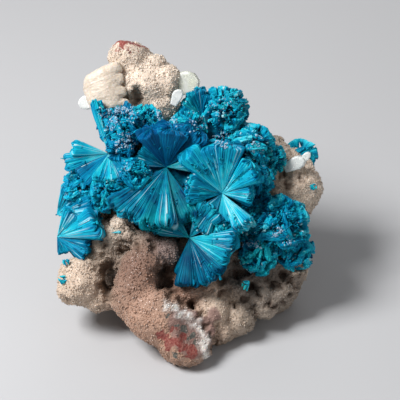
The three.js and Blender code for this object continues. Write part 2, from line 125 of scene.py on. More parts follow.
# Gaps and pits seen from the front, sunk in and painted with shade: x, y, reach.
SHADED_GAP_SPOTS = [
    (-12.6, 14.4, 1.5), (-12.5, 12.2, 1.2), (-12.2, 10.2, 1.0),  # left of the boot
    (-4.2, 14.2, 1.1), (-3.7, 12.4, 1.0), (-2.4, 11.1, 0.9),  # right of the boot
    (-0.9, 9.9, 0.6), (0.6, 9.0, 0.6), (1.9, 7.6, 0.6),  # beside the toe
    (2.9, 6.0, 0.6), (3.6, 4.2, 0.6), (4.0, 2.6, 0.6),
    (-9.6, 40.9, 0.9), (-8.0, 41.2, 1.2), (-7.2, 39.6, 1.1),  # under the top knob
    (-10.4, 17.3, 0.6), (-9.4, 17.7, 0.35), (-7.7, 18.3, 0.5),  # left nodules
    (-12.8, 17.6, 0.6), (-5.0, 18.0, 0.6),
    (13.2, 12.2, 0.6), (14.2, 11.8, 0.5), (16.2, 12.4, 0.6), (16.9, 11.8, 0.5),  # lower right
    (12.6, 8.9, 0.6), (13.6, 8.6, 0.5), (14.8, 9.0, 0.5), (10.6, 7.7, 0.5),
    (8.8, 9.8, 0.5), (7.2, 8.6, 0.4), (10.9, 10.4, 0.4),
    (9.9, 12.0, 0.8), (11.9, 13.4, 0.9), (15.2, 13.6, 0.7), (17.8, 10.4, 0.5), (5.4, 10.6, 0.5),
    (5.0, 13.0, 1.0), (7.4, 13.6, 0.9),  # under the low fans
    (15.0, 29.4, 0.9), (15.9, 27.8, 0.8), (17.6, 28.6, 0.6),  # right shoulder
]
# Where the coat is a smooth skin of sugary druse, not nodules: place, reach.
SMOOTH_SPOTS = [
    ((-8, 11, 2), 7.0),  # boot
    ((-4.5, 7.5, 3), 7.5),
    ((-0.5, 4, 3), 6.5),
    ((-7.5, 15.5, 2), 4.0),
]
# Where it is half smooth.
CALM_SPOTS = [
    ((-16.4, 12.6, -1), 6.0),  # left knob
    ((-8, 47, -3), 7.0),  # top knob
    ((-4, 42, -3), 7.0),
    ((17, 27, -5), 4.0),  # right shoulder
    ((6, 9, 0), 4.5),  # knobs right of the toe
    ((8, 6, -2), 3.5),
]
# Where the stone is drawn a little off its solid: place, reach and push, in millimetres.
PUSHES = [
    ((-9.2, 49.9, -3.0), 3.0, (-0.7, 0.3, 0.8)),  # cap of the top knob
    ((-12.2, 47.6, -3.2), 1.6, (-0.6, 0.2, 0.0)),
    ((-4.0, 12.4, 1.0), 1.6, (-0.5, 0.0, -0.3)),  # waist of the boot
    ((-4.6, 10.2, 3.2), 1.8, (0.4, 0.5, 0.3)),  # its lower shoulder
]
# How far out of the face, in millimetres, each of these starts.
BACK_FROM = -15  # the bare basalt of the back, and everything behind it
BACK_BLEND = 6  # the width of the basalt's border with the coat
DARK_FROM = -9  # the sunk gaps with painted shade
FRONT_DEPTH = -11  # the front's thicker druse

# The stone's relief, lengths in metres.
BASE_EDGE = 0.0002  # what lies lower than this belongs to the flat base
BASE_FADE = 0.0012  # the height over which the relief fades in above it
GAP_DEPTH = 0.0009  # how far the shadowy gaps go in
HOLLOW_DEPTH = 0.00045  # a hollow this deep gets the full painted shade and dirt
HOLLOW_ROUNDS = 14  # rounds of smoothing that tell a hollow from what is round it
SMOOTH_SHARE = 0.9  # how much of the nodules the smooth spots take away
CALM_SHARE = 0.62  # how much of the nodules the calm spots take away
CALM_RELIEF = 0.35  # and of all the relief
CALM_SHADE_AND_DIRT = 0.75  # and of the painted shade and dirt

# Colours and values that several materials or noises share.
CRYSTAL_IOR = 1.5
COAT_DEPTHS = (1.0, 0.85, 0.7)  # how deep red, green and blue light go into the coat
GRAIN_DARKER = (0.62, 0.56, 0.5)
GRAIN_LIGHTER = (1.4, 1.38, 1.36)
SPARKLE_FROM = 0.86  # the share of the grains that don't sparkle
PALE_BASALT = (0.2, 0.19, 0.16)
PALE_RED = (0.34, 0.13, 0.1)
CREVICE_SHADE_AND_DIRT = (0.08, 0.052, 0.036)
DRUSE_SPARKLE_WHITE = (0.9, 0.87, 0.83)
BRIGHT_TEAL = (0.02, 0.55, 0.52)
SPRINKLE_BLUE = (0.3, 0.46, 0.6)

# Sprays broken open. Each fan: from angle, to angle, reach, top slope, bottom slope, glow, frost, teal.
# Angles run anticlockwise from the face's x. glow is how bright its blue is, frost the share of white blades,
# partly broken blades and partly painted glints, and teal how green it is, or where negative how deep a royal
# blue.
OPEN_SPRAYS = [
    ((5.4, 26.3, 1.6), [
        (96, 142, 8.4, 20, -28, 0.62, 0.05, 0.1),
        (68, 97, 8.2, 24, -25, 0.58, 0.06, 0.1),
        (20, 58, 6.8, 30, -28, 0.66, 0.04, 0.0),
        (-22, 16, 5.0, 24, -30, 0.62, 0.22, 0.2),
        (-57, -42, 6.9, 33, -20, 0.88, 0.3, 0.1),
        (-72, -57, 7.0, 30, -22, 0.84, 0.24, 0.1),
        (-102, -74, 8.4, 9, -22, 0.62, 0.06, 0.3),
        (-150, -106, 6.6, 12, -30, 0.46, 0.08, 0.7),
        (150, 196, 6.0, 20, -30, 0.5, 0.1, 0.3),
    ]),
    ((0.3, 19.5, 1.8), [
        (-38, 8, 7.0, 20, -30, 0.52, 0.26, 0.4),
        (-74, -38, 7.8, 14, -30, 0.18, 0.12, 0.2),
        (-106, -74, 7.0, 4, -34, 0.14, 0.04, 0.3),
        (118, 172, 5.2, 10, -30, 0.5, 0.05, 0.9),
        (28, 76, 6.0, 12, -24, 0.44, 0.06, 0.6),
    ]),
    ((-3.3, 30.4, 0.2), [
        (-80, -56, 9.2, 20, -16, 0.24, 0.05, 0.7),
        (-97, -80, 10.0, 27, -12, 0.34, 0.1, 0.8),
        (-114, -97, 10.4, 24, -12, 0.24, 0.06, 0.8),
        (-131, -114, 10.8, 19, -14, 0.34, 0.12, 0.6),
        (-152, -131, 10.6, 12, -16, 0.26, 0.05, 0.5),
        (94, 126, 7.4, 38, -16, 0.5, 0.01, -0.8),
        (62, 94, 7.0, 42, -16, 0.5, 0.01, -1.0),
        (34, 62, 8.4, 26, -16, 0.4, 0.02, -0.5),
        (-8, 20, 6.2, 22, -20, 0.4, 0.3, 0.8),
        (130, 178, 4.8, 8, -24, 0.24, 0.05, 0.5),
    ]),
    ((-12.2, 32.5, -0.4), [
        (103, 109, 9.0, 12, 0, 0.8, 0.1, 0.1),
        (97, 103, 8.1, 10, -4, 0.66, 0.06, 0.1),
        (91, 97, 7.2, 8, -8, 0.5, 0.04, 0.1),
        (160, 182, 5.8, 16, -30, 0.72, 0.06, 0.1),
        (182, 204, 7.3, 4, -34, 0.6, 0.03, 0.1),
        (204, 238, 5.6, 8, -34, 0.5, 0.02, 0.0),
        (240, 288, 5.2, 34, -28, 0.74, 0.16, 0.3),
        (-70, -18, 5.4, 30, -30, 0.44, 0.06, 0.2),
    ]),
    ((-20.4, 19.5, -2.0), [
        (38, 72, 5.4, 24, -34, 0.58, 0.36, 0.1),
        (4, 38, 7.4, 28, -30, 0.54, 0.32, 0.1),
        (-44, 4, 5.6, 14, -34, 0.5, 0.12, 0.2),
        (-84, -44, 2.8, 8, -30, 0.4, 0.03, 0.3),
    ]),
    ((-20.5, 23.0, -2.4), [
        (40, 76, 5.0, 16, -34, 0.56, 0.16, 0.1),
        (-14, 40, 6.2, 20, -30, 0.56, 0.24, 0.1),
    ]),
    ((2.3, 38.3, -3.0), [
        (84, 124, 4.6, 30, -30, 0.48, 0.03, 0.3),
        (44, 84, 4.4, 34, -30, 0.46, 0.04, 0.2),
        (124, 170, 4.0, 26, -30, 0.52, 0.08, 0.4),
    ]),
]
# A loose blue blade that lies on the pale wedge under the left sprays, as a spray of one fan.
LOOSE_BLADE = ((-11.9, 20.2, -0.55), [(2, 9, 1.9, 34, 24, 0.9, 0.4, 0.3)])

BRIGHT_FAN = 0.51  # fans that glow more than this are brightest at their root
PETAL_SPAN = 24  # degrees of a fan that each of its petals takes up, about
PETAL_DROP = 17  # degrees of slope between two rows of petals, about
CONE_SHARE = 0.66  # the part of a petal's outline that is its cone; the rest is its domed end
SIDE_POWER = 0.85  # how full a petal's sides are: 1 is round
BUNDLES = 22  # bundles of strips round a petal
ROSETTE_PETALS = 58  # petals of a ball of 3 mm radius

# The mat of short blades between the sprays, in metres.
MAT_BLADES = 9000
MAT_LENGTH = 0.0011
BED_SUNK = 0.00045  # how far the bed lies under its solid's surface
CLEAR_OF_SPRAYS = 4  # millimetres from a spray's middle that the mat keeps

# Rosettes seen from the ends of their blades: place, radius, glow, frost (white blades and painted glints),
# teal.
ROSETTES = [
    ((-10.2, 36.8, -1.0), 3.7, 0.3, 0.12, -0.2),  # upper left
    ((-6.6, 37.6, -2.0), 2.8, 0.36, 0.1, 0.6),
    ((-10.4, 33.4, 0.2), 2.2, 0.26, 0.05, -0.4),
    ((-8.4, 29.2, 0.0), 2.9, 0.34, 0.03, 0.2),  # left of the middle
    ((-12.2, 26.6, -0.8), 3.2, 0.36, 0.05, 0.3),
    ((-16.6, 27.2, -2.6), 3.1, 0.44, 0.04, 0.0),
    ((0.0, 36.2, -2.0), 3.0, 0.44, 0.1, 0.5),  # top
    ((5.8, 39.4, -3.4), 3.8, 0.46, 0.06, 0.3),
    ((10.0, 33.6, -2.8), 3.8, 0.46, 0.09, 0.3),  # upper right
    ((13.0, 31.8, -4.2), 2.6, 0.42, 0.04, 0.8),
    ((10.6, 28.5, -1.8), 3.1, 0.32, 0.02, 0.3),
    ((14.4, 21.4, -2.8), 4.8, 0.4, 0.04, 0.1),  # right
    ((17.0, 17.0, -4.2), 3.0, 0.4, 0.04, 0.2),
    ((11.0, 16.6, -2.2), 3.1, 0.38, 0.05, 0.7),
]
FAR_SPRAY = ((18.2, 32.4, -12.4), 2.75, 0.48, 0.0, 0.2)
SPECKS = [
    ((-18.8, 15.7, -0.3), 0.55, 0.4, 0.0, 0.6),
    ((-19.3, 13.0, 0.5), 0.62, 0.45, 0.0, 0.6),
    ((9.0, 12.1, -0.2), 0.66, 0.4, 0.1, 0.9),
    ((19.9, 27.4, -5.0), 0.5, 0.4, 0.0, 0.9),
]
# Sprinkles of tiny pale crystals on the blue, seen from the front: x, y, radius, crowding.
PALE_SPRINKLES = [
    (5.3, 34.6, 1.2, 20),
    (-4.0, 38.6, 1.2, 18),
    (-2.2, 37.4, 0.8, 12),
    (-12.8, 38.7, 1.0, 12),  # upper left
    (-11.5, 39.2, 1.2, 14),
    (-10.2, 39.1, 1.1, 14),
    (-9.0, 38.5, 0.9, 14),
    (-11.2, 37.6, 1.4, 5),
    (-9.4, 34.3, 1.3, 12),
    (-10.6, 33.4, 0.8, 6),
    (1.6, 37.4, 1.8, 3),  # top
    (5.0, 39.4, 1.8, 2.5),
    (10.5, 33.6, 1.4, 4),  # upper right
    (13.7, 20.6, 0.9, 18),  # right
    (15.7, 19.0, 0.8, 6),
    (9.4, 18.9, 1.0, 12),
    (10.8, 18.2, 0.7, 8),
    (-9.6, 30.4, 0.9, 4),  # left of the middle
]

# Pale crystals by node, each of one or more blades: place, (width, length, thickness), turn in the face and
# tip out of it.
CLEAR_BLADES = {
    "stilbite_blade_top": [((-0.5, 43.6, -4.4), (3.8, 4.7, 1.4), -62, 12)],
    "stilbite_blade_small": [((-1.7, 41.3, -1.2), (1.7, 2.7, 0.9), -24, 10)],
    "stilbite_tip_left": [((-15.5, 40.8, -3.8), (2.3, 3.4, 1.2), 116, -6)],
    "stilbite_blade_right": [
        ((16.9, 31.0, -5.0), (2.2, 3.6, 1.3), -64, 14),
        ((18.5, 31.9, -4.9), (1.2, 2.4, 1.0), -38, 10),
    ],
}
# Outline of a pale crystal, in shares of its width and length.
BLADE_OUTLINE = [
    (-0.28, -0.5), (0.28, -0.5), (0.5, 0.1), (0.44, 0.34),
    (0.2, 0.5), (-0.18, 0.47), (-0.42, 0.3), (-0.5, 0.08),
]
SHEAF = {"at": (-12.5, 42.6, -2.4), "turn": 14}  # middle, and slant of its lamellae in degrees
# The sheaf's unevenness: height, and waves a millimetre along, across and through its lamellae.
SHEAF_RELIEF = [(0.26, 0.3, 0.5, 0.5), (0.03, 0.4, 2.6, 0.9), (0.07, 1.4, 6.0, 2.0), (0.06, 5, 6, 6)]


def face_matrix():
    """From the face's millimetres to the specimen's metres."""
    lean = Matrix.Rotation(math.radians(90 - FACE_LEAN), 4, "X")
    shift = Matrix.Translation(Vector(STAND_SHIFT) * MM)
    return shift @ lean @ Matrix.Scale(MM, 4)


FACE = face_matrix()
FACE_ARRAY = np.array(FACE)
FACE_TURN = FACE_ARRAY[:3, :3]
FACE_SHIFT = FACE_ARRAY[:3, 3]


def from_face(points):
    """Places in the face's millimetres, one a row, as metres in the specimen's frame."""
    return np.asarray(points, float) @ FACE_TURN.T + FACE_SHIFT


def to_face(points):
    """Places in the specimen's metres, one a row, as millimetres in the face's frame."""
    return (np.asarray(points, float) - FACE_SHIFT) @ np.linalg.inv(FACE_TURN).T


def outward(normals):
    """How squarely each normal looks out of the face, from -1 to 1."""
    return normals @ FACE_ARRAY[:3, 2] / MM


def unit(vectors):
    """Each row at length one."""
    return vectors / np.maximum(np.linalg.norm(vectors, axis=1, keepdims=True), 1e-12)


def directions(angles, slopes):
    """Directions in the face's frame, from angles in the face and slopes out of it, in degrees."""
    a, s = np.radians(angles), np.radians(slopes)
    return np.stack([np.cos(s) * np.cos(a), np.cos(s) * np.sin(a), np.sin(s)], axis=1)


def length_setting(name, description, default, **limits):
    return FloatProperty(name=name, description=description, default=default, unit="LENGTH", **limits)


def colour_setting(name, description, *default):
    return FloatVectorProperty(name=name, description=description, default=default, subtype="COLOR")


class StoneSettings(PropertyGroup):
    """Sizes and colours of the stone and its druse."""

    voxel: length_setting("Detail", "Size of the surface's cells", 0.00027, min=0.0002)
    nodule: length_setting("Nodule Height", "How far the small nodules stand out of the larger ones", 0.0006)
    nodule_pitch: length_setting("Nodule Pitch", "Distance between the small nodules", 0.0025)
    grit: length_setting("Grit Height", "Height of the fine unevenness of the coat", 0.00016)
    grain: length_setting("Druse Grain", "Length of a typical crystal of the druse", 0.00026)
    front_grains: IntProperty(name="Front Grains", description="Crystals in the front's druse", default=24000)
    back_grains: IntProperty(name="Back Grains", description="Crystals in the back's druse", default=9000)
    tan: colour_setting("Coat", "Colour of the druse where no other tint reaches", 0.38, 0.3, 0.235)
    cream: colour_setting("Cream", "Tint of the top knob", 0.71, 0.6, 0.5)
    pink: colour_setting("Pink", "Tint of the boot", 0.44, 0.265, 0.19)
    # Painted shade on the boot's upper end, and the brownish nodule right of it
    brown_and_shade: colour_setting("Pink Brown", "Tint of the boot's upper end", 0.15, 0.07, 0.048)
    broken: colour_setting("Broken Rock", "Rock that shows on the toe's break", 0.25, 0.15, 0.13)
    rim: colour_setting("White Rim", "Edge of the coat round the break", 0.82, 0.78, 0.74)
    sand: colour_setting("Sand", "Tint of the left knob", 0.61, 0.485, 0.385)
    # Grey of the recessed nodules, also painted shade below the top knob and at the lower right
    grey_and_shade: colour_setting("Grey", "Tint of the recessed nodules", 0.37, 0.312, 0.258)
    # Painted shade on the foot's lower right, under the sprays
    foot_shade: colour_setting("Dim", "Tint of the foot's darker side", 0.11, 0.092, 0.08)
    # Painted shade of the gaps and pits
    hollow_shade: colour_setting("Hollow", "Brown of the gaps and pits", 0.1, 0.06, 0.04)
    plum: colour_setting("Plum", "Tint of the pitted nodule", 0.27, 0.2, 0.19)
    red: colour_setting("Red", "Iron-stained breaks", 0.22, 0.04, 0.032)
    basalt: colour_setting("Basalt", "Bare rock of the back and the toe", 0.085, 0.085, 0.075)


class CrystalSettings(PropertyGroup):
    """Sizes and colours of the crystals."""

    width: length_setting("Blade Width", "Width of a blade at its outer end", 0.00034)
    thickness: length_setting("Blade Thickness", "Thickness of a blade at its outer end", 0.00008)
    deep: colour_setting("Deep Blue", "Shaded and end-on crystal", 0.0, 0.04, 0.11)
    blue: colour_setting("Blue", "Most of the crystal", 0.0, 0.21, 0.4)
    bright: colour_setting("Bright Cyan", "Lit, freshly broken blades", 0.01, 0.53, 0.66)
    teal: colour_setting("Teal", "Greener blades", 0.0, 0.2, 0.22)
    royal: colour_setting("Royal Blue", "The darkest clear blades", 0.0, 0.08, 0.3)
    # White of broken blades and painted glints
    frost: colour_setting("Frost", "White glints on broken blades", 0.55, 0.84, 0.9)
    cream: colour_setting("Sheaf Cream", "The stilbite sheaf", 0.64, 0.56, 0.475)
    clear: colour_setting("Clear Stilbite", "The see-through pale blade", 0.88, 0.9, 0.74)
    milky: colour_setting("Milky Stilbite", "The half see-through blades", 0.84, 0.88, 0.86)


class StageSettings(PropertyGroup):
    """Floor and lights."""

    floor: colour_setting("Floor", "Colour of the floor", 0.5, 0.5, 0.51)
    key: FloatProperty(name="Key Light", description="Watts of the upper left light", default=1.38)
    fill: FloatProperty(name="Fill Light", description="Watts of the right light", default=0.12)
    sky: FloatProperty(name="Sky", description="Strength of the light from all round", default=0.2)
    show_floor: BoolProperty(name="Floor Shown", description="Whether the floor is made", default=True)


def settings():
    """The three groups of settings of the scene."""
    scene = bpy.context.scene
    return scene.specimen_stone, scene.specimen_crystals, scene.specimen_stage


# Node helpers


def feed(tree, socket, value):
    """Gives an input a number or a colour, or links it where value is a socket."""
    if isinstance(value, bpy.types.NodeSocket):
        tree.links.new(value, socket)
    elif socket.type == "RGBA":
        socket.default_value = (*value[:3], 1.0)
    else:
        socket.default_value = value


def fill_inputs(tree, node, values):
    """Feeds a node's inputs by name."""
    for name, value in values.items():
        feed(tree, node.inputs[name], value)


def add_node(tree, kind, values=None, **options):
    """A shader node of a kind, with its options and inputs set."""
    node = tree.nodes.new(kind)
    for name, value in options.items():
        setattr(node, name, value)
    fill_inputs(tree, node, values or {})
    return node


def mix(tree, factor, first, second, blend="MIX"):
    """The colour between two, as a socket."""
    node = add_node(tree, "ShaderNodeMix", data_type="RGBA", blend_type=blend)
    # The colour inputs of this node share their names with its other kinds, so they are found by number.
    for number, value in ((0, factor), (6, first), (7, second)):
        feed(tree, node.inputs[number], value)
    return node.outputs[2]


def math_node(tree, operation, *values, clamp=False):
    node = add_node(tree, "ShaderNodeMath", operation=operation, use_clamp=clamp)
    for socket, value in zip(node.inputs, values):
        feed(tree, socket, value)
    return node.outputs[0]


def ramp(tree, value, low, high, to_low=0.0, to_high=1.0):
    """value carried from one range to another, and held there."""
    values = {"Value": value, "From Min": low, "From Max": high, "To Min": to_low, "To Max": to_high}
    return add_node(tree, "ShaderNodeMapRange", values).outputs["Result"]


def attribute(tree, name, output="Fac"):
    return add_node(tree, "ShaderNodeAttribute", attribute_name=name).outputs[output]


def object_place(tree):
    return add_node(tree, "ShaderNodeTexCoord").outputs["Object"]


def noise_value(tree, place, scale, detail, roughness=0.5):
    """Soft noise round a half, as a socket."""
    values = {"Vector": place, "Scale": scale, "Detail": detail, "Roughness": roughness}
    return add_node(tree, "ShaderNodeTexNoise", values).outputs["Fac"]


def bumped(tree, height, strength, distance):
    """The normal of a surface whose height varies, distance in metres."""
    values = {"Height": height, "Strength": strength, "Distance": distance}
    return add_node(tree, "ShaderNodeBump", values).outputs["Normal"]


def grain_group():
    """Fine crystal grain, built once: varies a colour, and gives a height and a sparkle mask."""
    name = "Crystal Grain"
    if name in bpy.data.node_groups:
        return bpy.data.node_groups[name]
    tree = bpy.data.node_groups.new(name, "ShaderNodeTree")
    tree.interface.new_socket("Color", in_out="INPUT", socket_type="NodeSocketColor")
    for socket in ("Grain Scale", "Variation"):
        tree.interface.new_socket(socket, in_out="INPUT", socket_type="NodeSocketFloat")
    tree.interface.new_socket("Color", in_out="OUTPUT", socket_type="NodeSocketColor")
    for socket in ("Height", "Sparkle"):
        tree.interface.new_socket(socket, in_out="OUTPUT", socket_type="NodeSocketFloat")
    given = tree.nodes.new("NodeGroupInput").outputs
    place = object_place(tree)
    cells = add_node(tree, "ShaderNodeTexVoronoi", {"Vector": place, "Scale": given["Grain Scale"]})
    broad = noise_value(tree, place, 420.0, 5.0)
    cell_value = add_node(tree, "ShaderNodeSeparateColor", {"Color": cells.outputs["Color"]}).outputs["Red"]
    spread = math_node(tree, "ADD", math_node(tree, "MULTIPLY", cell_value, 0.6), broad)
    darker = mix(tree, 1.0, given["Color"], GRAIN_DARKER, "MULTIPLY")
    lighter = mix(tree, 1.0, given["Color"], GRAIN_LIGHTER, "MULTIPLY")
    varied = mix(tree, ramp(tree, spread, 0.25, 1.15), darker, lighter)
    fill_inputs(tree, tree.nodes.new("NodeGroupOutput"), {
        "Color": mix(tree, given["Variation"], given["Color"], varied),
        "Height": math_node(tree, "SUBTRACT", 1.0, cells.outputs["Distance"]),
        "Sparkle": math_node(tree, "GREATER_THAN", cell_value, SPARKLE_FROM),
    })
    return tree


def grain_node(tree, colour, scale, variation):
    """The crystal grain placed in a material: its outputs."""
    values = {"Color": colour, "Grain Scale": scale, "Variation": variation}
    node = add_node(tree, "ShaderNodeGroup", node_tree=grain_group())
    fill_inputs(tree, node, values)
    return node.outputs


def new_material(name):
    material = bpy.data.materials.new(name)
    material.use_nodes = True
    return material, material.node_tree, material.node_tree.nodes["Principled BSDF"]


def stone_material(stone):
    """Druse over rock: tinted coat, crevices darkened with dirt and painted shade, iron-red and bare basalt
    breaks.
    """
    material, tree, shader = new_material("Druse Coated Stone")
    tint = attribute(tree, "tint", "Color")
    grain = grain_node(tree, tint, 4200, 0.6)
    place = object_place(tree)
    # Blotches break up the borders of the bare rock, of the stain and of the dirt and painted shade.
    edge = math_node(tree, "SUBTRACT", noise_value(tree, place, 900.0, 6.0, 0.65), 0.5)
    bare = ramp(tree, math_node(tree, "ADD", attribute(tree, "bare"), edge), 0.42, 0.58)
    crumbs = noise_value(tree, place, 2600.0, 8.0)
    rock = mix(tree, ramp(tree, crumbs, 0.35, 0.7), stone.basalt, PALE_BASALT)
    colour = mix(tree, bare, grain["Color"], rock)
    stain = math_node(tree, "ADD", attribute(tree, "stain"), math_node(tree, "MULTIPLY", edge, 1.7))
    red = mix(tree, ramp(tree, crumbs, 0.4, 0.66), stone.red, PALE_RED)
    colour = mix(tree, ramp(tree, stain, 0.42, 0.6), colour, red)
    # Dirt and painted shade: hollows and gaps darken the coat.
    shade_and_dirt = ramp(tree, math_node(tree, "ADD", attribute(tree, "crevice"), edge), 0.25, 0.95)
    colour = mix(tree, math_node(tree, "MULTIPLY", shade_and_dirt, 0.78), colour, CREVICE_SHADE_AND_DIRT)
    sparkle = math_node(tree, "MULTIPLY", grain["Sparkle"], math_node(tree, "SUBTRACT", 1.0, bare))
    height = math_node(tree, "ADD", grain["Height"], crumbs)
    fill_inputs(tree, shader, {
        "Base Color": colour,
        "Roughness": ramp(tree, sparkle, 0.0, 1.0, 0.74, 0.24),
        "Normal": bumped(tree, height, 0.55, 0.00012),
        "Subsurface Weight": ramp(tree, tint, 0.2, 0.75, 0.0, 0.6),
        "Subsurface Radius": COAT_DEPTHS,
        "Subsurface Scale": 0.0006,
    })
    return material


def druse_material():
    """The druse's own tiny crystals: sugary, half clear, each a little different; the whitest are partly a
    painted sparkle.
    """
    material, tree, shader = new_material("Druse Crystals")
    shade = attribute(tree, "shade")
    # The grains of highest shade whiten: partly their own tone, partly painted sparkle.
    sparkle_white = ramp(tree, shade, 0.75, 1.0, 0.0, 0.2)
    fill_inputs(tree, shader, {
        "Base Color": mix(tree, sparkle_white, attribute(tree, "tint", "Color"), DRUSE_SPARKLE_WHITE),
        "Roughness": ramp(tree, shade, 0.0, 1.0, 0.5, 0.2),
        "IOR": CRYSTAL_IOR,
        "Specular IOR Level": 0.25,
        "Subsurface Weight": 0.3,
        "Subsurface Radius": COAT_DEPTHS,
        "Subsurface Scale": 0.0003,
    })
    return material


def cavansite_material(crystals):
    """Blue blades with a glassy to pearly sheen: deep to bright blue, teal in places, white where broken and
    as painted glints.
    """
    material, tree, shader = new_material("Cavansite")
    patch = noise_value(tree, object_place(tree), 520.0, 4.0)
    cloud = math_node(tree, "MULTIPLY", math_node(tree, "SUBTRACT", patch, 0.5), 0.7)
    streaks = noise_value(tree, attribute(tree, "strand", "Vector"), 1.5, 3.0, 0.65)
    fibre = math_node(tree, "MULTIPLY", math_node(tree, "SUBTRACT", streaks, 0.52), 1.9)
    glow = math_node(tree, "ADD", attribute(tree, "glow"), math_node(tree, "ADD", cloud, fibre))
    low = mix(tree, ramp(tree, glow, 0.0, 0.45), crystals.deep, crystals.blue)
    colour = mix(tree, ramp(tree, glow, 0.45, 1.0), low, crystals.bright)
    colour = mix(tree, ramp(tree, glow, 0.95, 1.6), colour, crystals.frost)
    greener = mix(tree, ramp(tree, glow, 0.1, 0.9), crystals.teal, BRIGHT_TEAL)
    teal = math_node(tree, "MULTIPLY", attribute(tree, "teal"), ramp(tree, patch, 0.3, 0.6), clamp=True)
    colour = mix(tree, teal, colour, greener)
    royal = math_node(tree, "MULTIPLY", attribute(tree, "teal"), -1.0, clamp=True)
    colour = mix(tree, royal, colour, mix(tree, ramp(tree, glow, 0.0, 0.8), crystals.deep, crystals.royal))
    fill_inputs(tree, shader, {
        # White blades: partly broken blades, partly painted glints.
        "Base Color": mix(tree, attribute(tree, "frost"), colour, crystals.frost),
        "Roughness": ramp(tree, streaks, 0.3, 0.7, 0.36, 0.62),
        "Normal": bumped(tree, streaks, 0.7, 0.00005),
        "IOR": CRYSTAL_IOR,
        "Specular IOR Level": 0.2,
        "Specular Tint": (0.35, 0.85, 1.0),
        "Subsurface Weight": 0.25,
        "Subsurface Radius": (0.1, 0.8, 1.0),
        "Subsurface Scale": 0.0005,
    })
    return material


def sheaf_material(crystals):
    """Cream stilbite: pearly, fine grooves along its lamellae."""
    material, tree, shader = new_material("Cream Stilbite")
    grain = grain_node(tree, crystals.cream, 3600, 0.4)
    browner = ramp(tree, attribute(tree, "shade"), 0.0, 1.0, 0.0, 0.25)
    fill_inputs(tree, shader, {
        "Base Color": mix(tree, browner, grain["Color"], (0.7, 0.56, 0.4)),
        "Normal": bumped(tree, grain["Height"], 0.35, 0.00006),
        "Roughness": ramp(tree, grain["Sparkle"], 0.0, 1.0, 0.5, 0.25),
        "Subsurface Weight": 0.6,
        "Subsurface Radius": (1.0, 0.8, 0.6),
        "Subsurface Scale": 0.0008,
    })
    return material


def clear_material(name, colour, through):
    """See-through pale stilbite, more or less milky."""
    material, tree, shader = new_material(name)
    veil = noise_value(tree, object_place(tree), 900.0, 5.0)
    fill_inputs(tree, shader, {
        "Base Color": mix(tree, ramp(tree, veil, 0.35, 0.75), colour, (0.95, 0.96, 0.94)),
        "Roughness": ramp(tree, veil, 0.3, 0.7, 0.18, 0.4),
        "Normal": bumped(tree, veil, 0.2, 0.0001),
        "IOR": CRYSTAL_IOR,
        "Transmission Weight": through,
    })
    return material


# Mesh helpers


def finish_piece(name, mesh, material, replaced=()):
    """Puts a mesh in the scene as a finished piece that rides with the specimen."""
    mesh.materials.clear()
    mesh.materials.append(material)
    piece = bpy.data.objects.new(name, mesh)
    bpy.context.scene.collection.objects.link(piece)
    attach(piece, BODY)
    if replaced:
        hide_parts(*replaced)
    return piece


def mesh_of(shape, name):
    """A shape as a mesh; the shape is freed."""
    mesh = bpy.data.meshes.new(name)
    shape.to_mesh(mesh)
    shape.free()
    return mesh


def corners_of(mesh):
    points = np.empty(len(mesh.vertices) * 3)
    mesh.vertices.foreach_get("co", points)
    return points.reshape(-1, 3)


def place_corners(mesh, points):
    mesh.vertices.foreach_set("co", points.ravel())
    mesh.update()


def normals_of(mesh):
    normals = np.empty(len(mesh.vertices) * 3, np.float32)
    mesh.vertex_normals.foreach_get("vector", normals)
    return normals.reshape(-1, 3).astype(float)


def edges_of(mesh):
    ends = np.empty(len(mesh.edges) * 2, np.int32)
    mesh.edges.foreach_get("vertices", ends)
    return ends.reshape(-1, 2)


def smoothed(values, ends, rounds):
    """Values of the corners, each drawn towards its neighbours a number of times."""
    degree = np.bincount(ends.ravel(), minlength=len(values)).reshape(-1, *[1] * (values.ndim - 1))
    for _ in range(rounds):
        total = np.zeros_like(values)
        np.add.at(total, ends[:, 0], values[ends[:, 1]])
        np.add.at(total, ends[:, 1], values[ends[:, 0]])
        values = (values + total / degree) / 2
    return values


def voxel_mesh(node, size):
    """A copy of a solid with its shared corners merged and an even skin of small cells."""
    shape = bmesh.new()
    shape.from_mesh(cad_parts[node].data)
    bmesh.ops.remove_doubles(shape, verts=shape.verts, dist=1e-7)
    mesh = mesh_of(shape, "skin")
    holder = bpy.data.objects.new("skin", mesh)
    bpy.context.scene.collection.objects.link(holder)
    remesh = holder.modifiers.new("Remesh", "REMESH")
    remesh.mode = "VOXEL"
    remesh.voxel_size = size
    evaluated = holder.evaluated_get(bpy.context.evaluated_depsgraph_get())
    skin = bpy.data.meshes.new_from_object(evaluated)
    bpy.data.objects.remove(holder)
    bpy.data.meshes.remove(mesh)
    return skin


def smooth_skin(node, cell, rounds, normal_rounds):
    """A solid's smoothed skin as a mesh, with its edges' ends, its corners and their smoothed normals."""
    mesh = voxel_mesh(node, cell)
    ends = edges_of(mesh)
    points = smoothed(corners_of(mesh), ends, rounds)
    place_corners(mesh, points)
    return mesh, ends, points, smoothed(normals_of(mesh), ends, normal_rounds)


def set_attribute(mesh, name, values):
    """A number or a colour for each corner."""
    if values.ndim == 1:
        layer = mesh.attributes.new(name, "FLOAT", "POINT")
        layer.data.foreach_set("value", values.astype(np.float32))
    else:
        opaque = np.hstack([values, np.ones((len(values), 1))])
        layer = mesh.attributes.new(name, "FLOAT_COLOR", "POINT")
        layer.data.foreach_set("color", opaque.astype(np.float32).ravel())


def set_vector(mesh, name, vectors):
    layer = mesh.attributes.new(name, "FLOAT_VECTOR", "POINT")
    layer.data.foreach_set("vector", vectors.astype(np.float32).ravel())


